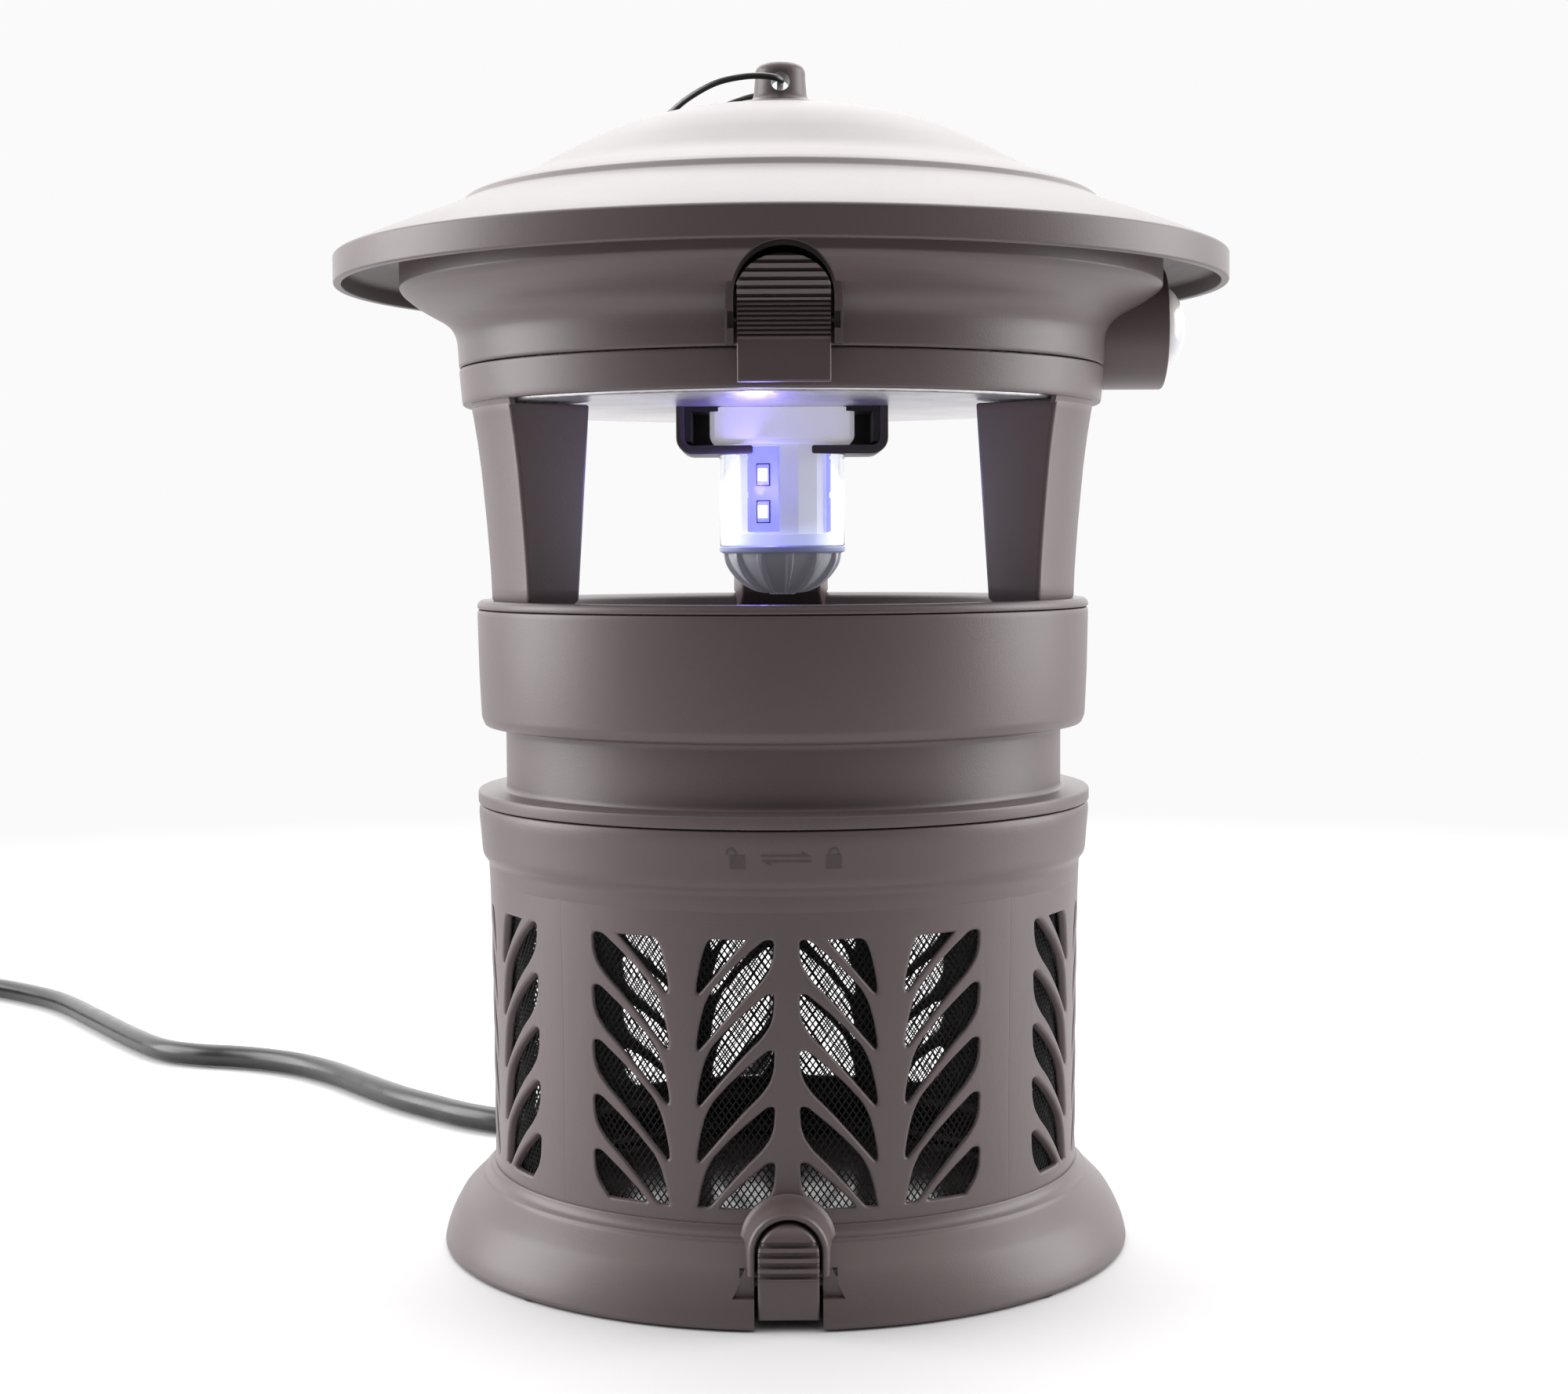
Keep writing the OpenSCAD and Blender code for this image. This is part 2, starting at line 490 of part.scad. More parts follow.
module lamp_collar() color([0.85, 0.88, 0.98]) translate([0, 0, 197]) cylinder(h = 3.4, r = 14.4);
module lamp_cap() color([0.55, 0.57, 0.62]) {
    rotate_extrude() polygon(concat([[0, 197], [18.1, 197], [17.6, 194.9], [16.4, 194.8]],
        [for (t = [15:15:75]) [5.2 + 11*cos(t), 194.4 - 10.6*sin(t)]], [[5, 183.4], [0, 183.4]]));
    for (k = [0:cap_ribs - 1]) rotate([0, 0, 7 + k*360/cap_ribs]) translate([0, 0.5, 0]) rotate([90, 0, 0])
        linear_extrude(1) polygon(concat([[17.6, 195.4]],
            [for (t = [0:15:90]) [5.4 + 12.1*cos(t), 194.6 - 11.6*sin(t)]], [[4, 183.2], [4, 195.4]]));
}
module driver_board() color([0.1, 0.4, 0.2]) {
    difference() {
        translate([-40, -10, 254]) cube([62, 42, 1.6]);
        for (x = [-36, 18]) for (y = [-6, 28]) translate([x, y, 253]) cylinder(h = 4, r = 1.6, $fn = 24);
    }
    translate([-34, 2, 255.5]) cube([18, 20, 16]);
    translate([-6, 20, 255.5]) cylinder(h = 18, r = 6, $fn = 48);
    translate([8, 4, 255.5]) cube([10, 8, 8]);
    for (x = [-36, 18]) for (y = [-6, 28]) translate([x, y, 251]) difference() {
        cylinder(h = 3.1, r = 3, $fn = 32);
        translate([0, 0, -1]) cylinder(h = 6, r = 1.6, $fn = 24);
    }
}
module sensor_board() color([0.1, 0.4, 0.2]) translate([100.9, 0, 258]) rotate([0, 90, 0]) {
    cylinder(h = 1.4, r = 13.6);
    translate([0, 0, 1.3]) cylinder(h = 3, r = 2.6, $fn = 32);
}
module sensor_lens() color([0.92, 0.92, 0.88, 0.6]) translate([0, 0, 258]) rotate([0, 90, 0]) rotate_extrude()
    polygon(concat([[0, 107.4]], [[11.6, 107.4]], [[11.6, 106.4]], [[14.5, 106.4]], [[14.5, 107.8]], [[12.2, 107.8]],
        [for (a = [10:10:90]) [11.65*cos(a), 107.8 + 6.3*sin(a)]]));
module top_latch_pin() color(steel) pin_x(-14.2, 14.2, latch_y, latch_z, 1.2);

// ---- top latch ----
module top_latch() color(taupe) difference() {
    union() {
        intersection() {
            along_y(-104, -91.5) arch(11.6, 257.2, 237.5);
            rotate([90, 0, 90]) linear_extrude(30, center = true) polygon([[-96, 237.5], [-96, 249.2],
                [-96.9, 250], [-96.9, 258.6], [-100.6, 268.2], [-97.4, 268.8], [-94.2, 258.6], [-94.2, 249],
                [-92.6, 246], [-92.2, 237.5]]);
        }
        pin_x(-11.6, 11.6, latch_y, latch_z, 2);
    }
    pin_x(-20, 20, latch_y, latch_z, 1.25);
    for (k = [0:7]) translate([-14, -98.1, 249.6 + 1.25*k]) cube([28, 1.6, 0.5]);
}
module top_latch_spring() color(steel) translate([0, -91.3, 262.6]) rotate([90, 0, 0]) difference() {
    cylinder(h = 1.9, r = 2.4, $fn = 32);
    translate([0, 0, -1]) cylinder(h = 5, r = 1.7, $fn = 32);
}

// ---- hanging loop ----
module hanging_loop() color(black) {
    sweep(concat([[0, 0, post_z], [0, -5, post_z]], smooth(loop_route, 2), [[0, 5, post_z], [0, 0, post_z]]),
        0.9, 8);
}
module loop_crimp() color(steel) translate([-74.2, 47, 297.7]) rotate([90, 0, -5]) difference() {
    cylinder(h = 7, r = 1.9, center = true, $fn = 32);
    cylinder(h = 8, r = 1.2, center = true, $fn = 32);
}

catch_basket();
mesh_liner();
rubber_feet();
door_hinge_pin();
bottom_latch_pin();
bottom_door();
bottom_latch();
bottom_latch_spring();
collar_seal();
power_cord();
cord_coil();
coil_tie();
plug_body();
plug_blades();
fan_housing();
top_cap();
leg_cage();
leg_screws();
fan_grille();
motor_bracket();
fan_motor();
motor_screws();
cord_gland();
head_hinge_pin();
fan_rotor();
motor_shaft();
head_housing();
roof();
roof_screws();
hanger_post();
hanger_nut();
reflector_plate();
lamp_bracket();
lamp_base();
lamp_contacts();
lamp_tube();
led_core();
led_strips();
lamp_collar();
lamp_cap();
driver_board();
sensor_board();
sensor_lens();
top_latch_pin();
top_latch();
top_latch_spring();
hanging_loop();
loop_crimp();
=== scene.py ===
"""Electric insect trap with a lamp head, a fan and a catch basket: its visible pieces around the CAD frame."""
from math import radians
import bpy
import bmesh
import numpy as np
from mathutils import Matrix, Vector


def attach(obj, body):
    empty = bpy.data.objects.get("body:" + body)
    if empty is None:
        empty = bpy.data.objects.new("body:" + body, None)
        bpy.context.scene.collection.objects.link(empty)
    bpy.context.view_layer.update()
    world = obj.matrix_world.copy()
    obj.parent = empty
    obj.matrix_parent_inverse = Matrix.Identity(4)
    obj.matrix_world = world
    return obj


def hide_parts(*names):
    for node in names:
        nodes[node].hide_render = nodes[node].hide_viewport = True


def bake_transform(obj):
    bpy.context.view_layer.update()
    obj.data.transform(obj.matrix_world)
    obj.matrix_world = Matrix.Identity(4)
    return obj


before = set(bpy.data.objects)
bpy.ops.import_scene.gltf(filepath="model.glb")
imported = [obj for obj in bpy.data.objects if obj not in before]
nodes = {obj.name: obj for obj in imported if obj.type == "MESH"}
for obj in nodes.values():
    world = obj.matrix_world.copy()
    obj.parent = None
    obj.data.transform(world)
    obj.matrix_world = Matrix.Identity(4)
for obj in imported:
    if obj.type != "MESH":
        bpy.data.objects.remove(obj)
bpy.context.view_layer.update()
scene = bpy.context.scene

# ---- camera ----
# It stands a little to the left of the object's front, and looks slightly down
camera_data = bpy.data.cameras.new("camera")
camera_data.lens, camera_data.sensor_width, camera_data.clip_start = 57.71, 36, 0.01
camera = bpy.data.objects.new("camera", camera_data)
scene.collection.objects.link(camera)
scene.camera = camera
camera.matrix_world = (Matrix.Rotation(radians(-0.4), 4, "Z") @ Matrix.Translation((0.00023, -0.7175, 0.1979))
    @ Matrix.Rotation(radians(90 - 3.515), 4, "X") @ Matrix.Rotation(radians(-0.288), 4, "Z"))

# ---- power cord ----
# A round rubber lead. It leaves the fan housing's back through a gland, runs along the floor, and is wound
# into a coil held by a strap, with a moulded two-blade plug on its end.
MM = 0.001
CORD_RADIUS = 4.1
COIL_CENTRE = (-424, 368)
PLUG_X, PLUG_Y, PLUG_Z = -473, 303, 10.5
GLAND_Z = 158


class Value:
    """A socket in a sum: each operator adds a Math node."""

    def __init__(self, tree, socket):
        self.tree, self.socket = tree, socket

    def math(self, operation, other=0.0, swap=False):
        node = self.tree.nodes.new("ShaderNodeMath")
        node.operation = operation
        for slot, value in zip(node.inputs, (other, self) if swap else (self, other)):
            if isinstance(value, Value):
                self.tree.links.new(value.socket, slot)
            else:
                slot.default_value = value
        return Value(self.tree, node.outputs[0])

    def __add__(self, other): return self.math("ADD", other)
    __radd__ = __add__
    def __mul__(self, other): return self.math("MULTIPLY", other)
    __rmul__ = __mul__
    def __sub__(self, other): return self.math("SUBTRACT", other)
    def __rsub__(self, other): return self.math("SUBTRACT", other, swap=True)
    def __pow__(self, other): return self.math("POWER", other)


class Finish:
    """A material: its surface takes plain values first, and node() adds any other node."""

    def __init__(self, name, colour, roughness, **sockets):
        self.material = bpy.data.materials.new(name)
        self.material.use_nodes = True
        self.tree = self.material.node_tree
        self.surface = self.tree.nodes["Principled BSDF"]
        self.surface.inputs["Base Color"].default_value = (*colour, 1)
        self.surface.inputs["Roughness"].default_value = roughness
        for key, value in sockets.items():
            self.surface.inputs[key.replace("_", " ")].default_value = value
        self.place = self.node("ShaderNodeTexCoord", out="Object")

    def node(self, kind, settings=None, sockets=None, out=0):
        node = self.tree.nodes.new(kind)
        for key, value in (settings or {}).items():
            if key == "stops":
                ramp = node.color_ramp.elements
                while len(ramp) < len(value):
                    ramp.new(0.5)
                for stop, (position, level) in zip(ramp, value):
                    stop.position, stop.color = position, (*level, 1)
            else:
                setattr(node, key, value)
        for key, value in (sockets or {}).items():
            if isinstance(value, Value):
                self.tree.links.new(value.socket, node.inputs[key])
            else:
                node.inputs[key].default_value = value
        return Value(self.tree, node.outputs[out])

    def noise(self, scale, detail=2.0, stretch=None):
        place = self.place
        if stretch:
            place = self.node("ShaderNodeMapping", None, {"Vector": place, "Scale": stretch})
        return self.node("ShaderNodeTexNoise", None, {"Vector": place, "Scale": scale, "Detail": detail},
            "Fac")

    def feed(self, socket, value):
        self.tree.links.new(value.socket, self.surface.inputs[socket])
        return self

    def bump(self, height, distance, strength=1.0):
        return self.feed("Normal", self.node("ShaderNodeBump", None,
            {"Height": height, "Distance": distance, "Strength": strength}, "Normal"))

    def tint(self, mask, dark, light):
        """Base colour between two colours, by a mask from 0 to 1."""
        return self.feed("Base Color", self.node("ShaderNodeValToRGB",
            {"stops": [(0.3, dark), (0.7, light)]}, {"Fac": mask}, "Color"))


def moulded(name, colour, roughness=0.42, grain=0.00003, spread=0.06, **sockets):
    """Spark-eroded moulding grain: fine bumps half a millimetre apart, over faint broad changes of tone."""
    made = Finish(name, colour, roughness, **sockets)
    fine, broad = made.noise(1900, 3), made.noise(28, 2)
    made.feed("Roughness", roughness - 0.05 + 0.06 * fine + 0.05 * broad)
    made.tint(0.65 * broad + 0.35 * fine, [c * (1 - spread) for c in colour],
        [c * (1 + spread) for c in colour])
    return made.bump(fine, grain).material


def smoothed(points, steps):
    """Catmull-Rom curve through the points, with that many steps between two of them."""
    p = np.asarray(points, float)
    q = np.vstack([p[:1], p, p[-1:]])
    t = np.linspace(0, 1, steps, endpoint=False)[:, None]
    spans = [0.5 * (2 * q[i + 1] + (q[i + 2] - q[i]) * t
        + (2 * q[i] - 5 * q[i + 1] + 4 * q[i + 2] - q[i + 3]) * t**2
        + (3 * q[i + 1] - q[i] - 3 * q[i + 2] + q[i + 3]) * t**3) for i in range(len(p) - 1)]
    return np.vstack(spans + [p[-1:]])


def grid_faces(rows, columns, close_rows=False, close_columns=True):
    """Quads between neighbours of a grid of points, wrapped round where asked."""
    i = np.arange(rows if close_rows else rows - 1)[:, None]
    j = np.arange(columns if close_columns else columns - 1)[None, :]
    a, b = i * columns + j, ((i + 1) % rows) * columns + j
    c, d = ((i + 1) % rows) * columns + (j + 1) % columns, i * columns + (j + 1) % columns
    return np.stack([a, b, c, d], -1).reshape(-1, 4).tolist()


def tube(path, radius, sides):
    """A round section carried along a path: centre + radius(i) times (u cos + v sin), ends closed."""
    path = np.asarray(path, float)
    along = np.gradient(path, axis=0)
    along /= np.linalg.norm(along, axis=1)[:, None]
    side = np.zeros_like(path)
    w = np.cross(along[0], (0.13, 0.2, 0.97))
    for i, t in enumerate(along):
        w = w - t * (w @ t)
        w /= np.linalg.norm(w)
        side[i] = w
    other = np.cross(along, side)
    turn = np.linspace(0, 2 * np.pi, sides, endpoint=False)
    reach = np.broadcast_to(radius, len(path))[:, None, None]
    ring = side[:, None] * np.cos(turn)[None, :, None] + other[:, None] * np.sin(turn)[None, :, None]
    points = (path[:, None] + reach * ring).reshape(-1, 3)
    last = (len(path) - 1) * sides
    return points, grid_faces(len(path), sides) + [list(range(sides)),
        list(range(last + sides - 1, last - 1, -1))]


def make(name, parts, finish, sharp=35, merge=True):
    """One object from (points, faces) parts in millimetres: doubles merged, faces turned outwards."""
    points, faces, start = [], [], 0
    for p, f in parts:
        points.append(np.asarray(p, float).reshape(-1, 3) * MM)
        faces += [[v + start for v in face] for face in f]
        start += len(points[-1])
    mesh = bpy.data.meshes.new(name)
    mesh.from_pydata(np.vstack(points).tolist(), [], faces)
    if merge:
        shape = bmesh.new()
        shape.from_mesh(mesh)
        bmesh.ops.remove_doubles(shape, verts=shape.verts, dist=1e-7)
        bmesh.ops.recalc_face_normals(shape, faces=shape.faces)
        shape.to_mesh(mesh)
        shape.free()
    mesh.polygons.foreach_set("use_smooth", [True] * len(mesh.polygons))
    mesh.set_sharp_from_angle(angle=radians(sharp))
    mesh.materials.append(finish)
    made = bpy.data.objects.new(name, mesh)
    scene.collection.objects.link(made)
    return made


def dress(piece, body, slot, *stands_for):
    """The piece rides on a body and stands for CAD nodes; the slot argument is not used."""
    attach(piece, body)
    if stands_for:
        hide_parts(*stands_for)
    return piece


def step(t):
    """Smooth step from 0 to 1."""
    t = np.clip(t, 0, 1)
    return t * t * (3 - 2 * t)


cord_route = [
    (0, 116, 158), (0, 119, 157.95), (0, 126.5, 156.2), (0, 137, 150), (0, 146, 139), (0, 150.5, 124),
    (0, 151.5, 104),
    (0, 151.5, 82), (0, 151.5, 60), (0, 151, 42), (-4.2, 148.6, 22.5), (-15.7, 142, 9.2), (-31.3, 133, 4.2),
    (-52.5, 121, 4.2), (-75, 115, 4.2), (-92, 118.3, 4.2), (-107, 128, 4.2), (-119, 140, 4.2),
    (-133, 155, 4.2), (-148, 175, 4.2), (-163, 196, 4.2), (-179, 213, 4.2), (-194, 223, 4.2),
    (-208, 229, 4.2), (-222, 233, 4.2), (-238, 243, 4.2), (-257, 269, 4.2), (-281, 307, 4.2),
    (-305, 344, 4.2), (-328, 368, 4.2), (-352, 387, 4.2), (-378, 404, 4.2), (-401, 417, 4.2),
    (-424, 421, 4.2)]
turn = np.arange(96, 1620.1, 6)
coil_radius = (53 - 8.3 * step((turn - 325) / 65) - 8.3 * step((turn - 685) / 65)
    + 4.15 * step((turn - 960) / 60) + 8.3 * step((turn - 1260) / 65))
coil = np.stack([COIL_CENTRE[0] + coil_radius * np.cos(np.radians(turn)),
    COIL_CENTRE[1] + coil_radius * np.sin(np.radians(turn)), 4.2 + 8.3 * step((turn - 930) / 90)], 1)
cord_tail = [(-473, 352, 12.6), (-473, 339, 12.6), (-473, 324, 11.9), (-473, 310, 10.7), (-473, 303, 10.5)]
cord_line = np.vstack([smoothed(cord_route, 5), coil, smoothed(cord_tail, 4)])

jacket = Finish("cord_jacket", (0.013, 0.013, 0.014), 0.36, Specular_IOR_Level=0.6)
scuff = jacket.noise(160, 3)
jacket.feed("Roughness", 0.2 + 0.2 * scuff).tint(scuff, (0.010, 0.010, 0.011), (0.018, 0.018, 0.019))
jacket.bump(jacket.noise(1500, 2), 0.00002)
jacket = jacket.material

cord = make("power_cord_line", [tube(cord_line, CORD_RADIUS, 20)], jacket, sharp=60)
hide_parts("power_cord", "cord_coil")
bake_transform(cord)

strap_turn = np.linspace(0, 2 * np.pi, 72, endpoint=False)


def strap_ring(grow):
    """Rounded rectangle round the coil's cords: a super-ellipse of power 5 in radius and height."""
    c, s = np.cos(strap_turn), np.sin(strap_turn)
    size = (np.abs(c) ** 5 + np.abs(s) ** 5) ** -0.2
    return 43.4 + (11.6 + grow) * c * size, np.maximum(8.5 + (8.6 + grow) * s * size, 0.05 - 0.05 * grow)


strap_profile = [(-5, 0.1), (-4.7, 0), (4.7, 0), (5, 0.1), (5, 1.0), (4.7, 1.2), (-4.7, 1.2), (-5, 1.0)]
strap_points = []
for across, out in strap_profile:
    r, z = strap_ring(out)
    strap_points.append(np.stack([COIL_CENTRE[0] + r, COIL_CENTRE[1] + 0 * r + across, z], 1))
black_plastic = moulded("black_plastic", (0.02, 0.02, 0.021), 0.4)
strap = make("coil_strap", [(np.vstack(strap_points), grid_faces(8, 72, close_rows=True))], black_plastic)
dress(strap, "seal_ring", "black_plastic", "coil_tie")


def loft(sections):
    """Equal closed sections joined one after the other, with both ends closed."""
    sections = np.asarray(sections, float)
    rows, columns = sections.shape[:2]
    last = (rows - 1) * columns
    return sections.reshape(-1, 3), grid_faces(rows, columns) + [
        list(range(columns)), list(range(last + columns - 1, last - 1, -1))]


plug_turn = np.linspace(0, 2 * np.pi, 64, endpoint=False)
plug_sections = []
for back, half_x, half_z, power in [(0, 4.6, 4.6, 2), (0.6, 5.4, 5.4, 2), (2, 5.5, 5.5, 2),
    (2.4, 4.8, 4.8, 2),
        (3.4, 4.8, 4.8, 2), (3.8, 5.9, 5.9, 2), (5.2, 6, 6, 2), (5.6, 5.1, 5.1, 2), (6.6, 5.1, 5.1, 2),
        (7, 6.5, 6.5, 2), (8.6, 6.7, 6.7, 2), (9, 5.8, 5.8, 2), (10, 6, 6, 2), (11, 8.5, 7.8, 3),
        (12.6, 11.2, 9.2, 5),
        (14, 12, 9.9, 7), (20, 11.2, 9.9, 7), (26, 11.6, 9.9, 7), (29.6, 12, 9.9, 7), (30, 13.2, 10.3, 8),
        (30.6, 13.5, 10.5, 8), (34.4, 13.5, 10.5, 8), (34.8, 13, 10, 8)]:
    c, s = np.cos(plug_turn), np.sin(plug_turn)
    size = (np.abs(c) ** power + np.abs(s) ** power) ** (-1 / power)
    plug_sections.append(np.stack([PLUG_X + half_x * c * size, PLUG_Y - back + 0 * c,
        PLUG_Z + half_z * s * size], 1))
plug = dress(make("plug_moulding", [loft(plug_sections)], jacket, sharp=40), "seal_ring", "cord_jacket",
    "plug_body")


def turned(profile, steps=256, axis="z", at=(0, 0, 0)):
    """A closed profile of radius and height turned round an axis: (R cos, R sin, h)."""
    profile = np.asarray(profile, float)
    a = np.linspace(0, 2 * np.pi, steps, endpoint=False)
    r, h = profile[:, 0][:, None], profile[:, 1][:, None] + 0 * a[None, :]
    x, y = r * np.cos(a), r * np.sin(a)
    grid = {"z": (x, y, h), "y": (x, h, y), "x": (h, x, y)}[axis]
    return np.stack(grid, -1).reshape(-1, 3) + np.asarray(at, float), grid_faces(len(profile), steps,
        close_rows=True)


def eased(profile, reach=0.4, steps=3):
    """A closed outline with its corners rounded: each corner becomes a parabola between points a little before
    and after it. A third number on a point is that corner's own reach."""
    p = [tuple(q) + (reach,) if len(q) == 2 else tuple(q) for q in profile]
    out = []
    for i, q in enumerate(p):
        here = np.array(q[:2], float)
        before, after = np.array(p[i - 1][:2], float), np.array(p[(i + 1) % len(p)][:2], float)
        for_in, for_out = np.linalg.norm(before - here), np.linalg.norm(after - here)
        if q[2] <= 0 or min(for_in, for_out) < 1e-6:
            out.append(here)
            continue
        a = here + (before - here) * min(q[2], 0.499 * for_in) / for_in
        b = here + (after - here) * min(q[2], 0.499 * for_out) / for_out
        n = steps if q[2] < 1 else 2 * steps
        for k in range(n + 1):
            t = k / n
            out.append((1 - t) ** 2 * a + 2 * t * (1 - t) * here + t * t * b)
    return out


rubber = moulded("black_rubber", (0.014, 0.014, 0.014), 0.55, 0.00002)
gland_profile = [(2.2, 80, 0), (6, 80), (6, 86.6, 0), (8.4, 86.6), (8.4, 89, 0.8), (6.8, 89.1, 0.3)]
for k in range(6):
    gland_profile += [(6.7 - 0.25 * k, 91.4 + 4 * k, 0.3), (5.5 - 0.18 * k, 91.7 + 4 * k, 0.3),
        (5.45 - 0.18 * k, 93 + 4 * k, 0.3), (6.6 - 0.27 * k, 93.3 + 4 * k, 0.3)]
gland_profile += [(4.6, 115.6, 0.3), (4.1, 115.6, 0), (4.1, 100, 0), (2.2, 99, 0)]
gland = make("gland_boot", [turned(eased(gland_profile), 48, axis="y", at=(0, 0, GLAND_Z))], rubber)
dress(gland, "trap_unit", "black_rubber", "cord_gland")

# ---- basket ----
# The catch basket is one taupe moulding: a plain collar, a wall of leaf-shaped openings in four groups, and a
# flared foot with an arched pocket for its latch. A fine black net lines the wall.
TAUPE = (0.098, 0.072, 0.073)
taupe = moulded("taupe_plastic", TAUPE, 0.40)

wall_z = [21.5, 29, 63, 96, 108.8]
wall_radius = [83.2, 83.1, 83.3, 83.65, 84]
WALL = 2.2
RIB, LEAF_WIDTH, SPINE, PITCH = 5.6, 21.4, 5.2, 14.55
WINDOW_LOW, WINDOW_HIGH = 27.2, 96.9

leaf = np.array([(0.4, -0.6), (0.9, -0.1), (2.2, -0.1), (7.5, -4.6), (12, -8.9), (16.4, -13.9), (18.2, -17.6),
    (19.3, -21.6), (20.2, -26.4), (20.4, -28.9), (19.9, -29.6), (19.2, -28.9), (13, -21.5), (7.5, -15.3),
    (4, -11.8), (1.6, -8.4), (0.7, -5.5)])


def cut_at(outline, level, above):
    """The part of an outline above or below a level."""
    out = []
    for i, q in enumerate(outline):
        p = outline[i - 1]
        inside_p, inside_q = (p[1] >= level) == above, (q[1] >= level) == above
        if inside_p != inside_q:
            t = (level - p[1]) / (q[1] - p[1])
            out.append((p[0] + t * (q[0] - p[0]), level))
        if inside_q:
            out.append(tuple(q))
    return out


openings = []
for k in range(-1, 5):
    shape = cut_at(cut_at(leaf + (0, WINDOW_HIGH + 0.7 - k * PITCH), WINDOW_LOW, True), WINDOW_HIGH, False)
    if len(shape) > 2:
        shape = np.array(eased(shape, 1.3, 2))
        for mirror in (1, -1):
            openings.append([(mirror * (RIB / 2 + x), z) for x, z in shape])
            openings.append([(mirror * (RIB / 2 + 2 * LEAF_WIDTH + SPINE - x), z) for x, z in shape])

sheet_curve = bpy.data.curves.new("wall_sheet", "CURVE")
sheet_curve.dimensions, sheet_curve.fill_mode = "2D", "BOTH"
ROUNDING = 0.7
sheet_curve.extrude, sheet_curve.bevel_depth = WALL / 2 - ROUNDING, ROUNDING
sheet_curve.bevel_resolution, sheet_curve.offset = 2, -ROUNDING
EDGE = 59.5
for outline in [[(-EDGE, 20), (EDGE, 20), (EDGE, 109), (-EDGE, 109)]] + openings:
    spline = sheet_curve.splines.new("POLY")
    spline.points.add(len(outline) - 1)
    spline.use_cyclic_u = True
    for point, (x, z) in zip(spline.points, outline):
        point.co = (x, z, 0, 1)
sheet_object = bpy.data.objects.new("wall_sheet", sheet_curve)
scene.collection.objects.link(sheet_object)
bpy.context.view_layer.update()
flat = bmesh.new()
flat_mesh = bpy.data.meshes.new_from_object(sheet_object.evaluated_get(bpy.context.evaluated_depsgraph_get()))
flat.from_mesh(flat_mesh)
bpy.data.objects.remove(sheet_object)
bmesh.ops.remove_doubles(flat, verts=flat.verts, dist=1e-4)
for x in np.arange(-57, 57.1, 2.0):
    bmesh.ops.bisect_plane(flat, geom=flat.verts[:] + flat.edges[:] + flat.faces[:], plane_co=(x, 0, 0),
        plane_no=(1, 0, 0), dist=1e-5)
for z in (45, 63, 80):
    bmesh.ops.bisect_plane(flat, geom=flat.verts[:] + flat.edges[:] + flat.faces[:], plane_co=(0, z, 0),
        plane_no=(0, 1, 0), dist=1e-5)
flat.verts.ensure_lookup_table()
sheet_points = np.array([v.co[:] for v in flat.verts])
sheet_faces = [[v.index for v in f.verts] for f in flat.faces]
flat.free()


def wrapped(points):
    """The flat sheet laid on the basket: x is kept, y = -sqrt(R^2 - x^2), and near the sheet's ends the
    thickness turns from straight back to radial."""
    x, z, depth = points[:, 0], points[:, 1], points[:, 2]
    outer = np.interp(z, wall_z, wall_radius)
    r = outer - WALL / 2 + depth
    end = step((np.abs(x) - 51) / 6)
    x = x * (1 + end * (outer * np.sin(np.pi / 4) / 59 - 1)) * (1 - end * (1 - r / outer))
    return np.stack([x, -np.sqrt(r * r - x * x), z], 1)


quarter = wrapped(sheet_points)
quarters = []
for c, s in ((1, 0), (0, 1), (-1, 0), (0, -1)):
    quarters.append((quarter @ np.array([(c, s, 0), (-s, c, 0), (0, 0, 1)]), sheet_faces))
basket_wall = make("basket_wall", quarters, taupe, sharp=50, merge=False)
fix = bmesh.new()
fix.from_mesh(basket_wall.data)
bmesh.ops.recalc_face_normals(fix, faces=fix.faces)
fix.to_mesh(basket_wall.data)
fix.free()
basket_wall.modifiers.new("even_shading", "WEIGHTED_NORMAL").keep_sharp = True

collar_profile = [(79.6, 106), (79.6, 109.5, 0), (79.6, 125.05, 0.3), (86.3, 125.05, 0.5), (86.6, 123.6, 0.5),
    (86.6, 122, 1), (86.15, 117, 2), (85.8, 112, 1), (85.5, 110.7, 0.7), (84.6, 109.6, 1),
    (84.05, 108.6, 0.9),
    (83.9, 104, 0.2), (81.4, 104, 0)]
foot_profile = [(82.9, 23.4, 0), (83.8, 23.4, 0.2), (84.0, 22.3, 0.5), (84.7, 20.9, 0.8), (86.2, 20.2, 0.3),
    (86.6, 19.3, 0.4),
    (88.2, 17.8, 1.5), (90.5, 15.6, 1.5), (92.5, 13.5, 2), (95, 9.1, 2.4), (96.8, 4.7, 2), (97.6, 1.0, 0.8),
    (97.3, 0.3, 0.3),
    (95.2, 0.3, 0.3), (94.4, 4.7, 2), (92.6, 9, 2), (90, 13.2, 2), (87, 16.4, 1.5), (84.5, 18.4, 1.5),
    (81.6, 19.5, 0.6), (81.2, 23.4, 0)]
rim_profile = [(78.2, 10.2), (92.4, 10.2), (91.2, 12.2), (78.2, 12.2)]


def block(low, high):
    """Box with its corners at two points."""
    corners = np.array([[(low, high)[i][0], (low, high)[j][1], (low, high)[k][2]]
        for i in (0, 1) for j in (0, 1) for k in (0, 1)])
    return corners, [[0, 1, 3, 2], [4, 6, 7, 5], [0, 4, 5, 1], [2, 3, 7, 6], [0, 2, 6, 4], [1, 5, 7, 3]]


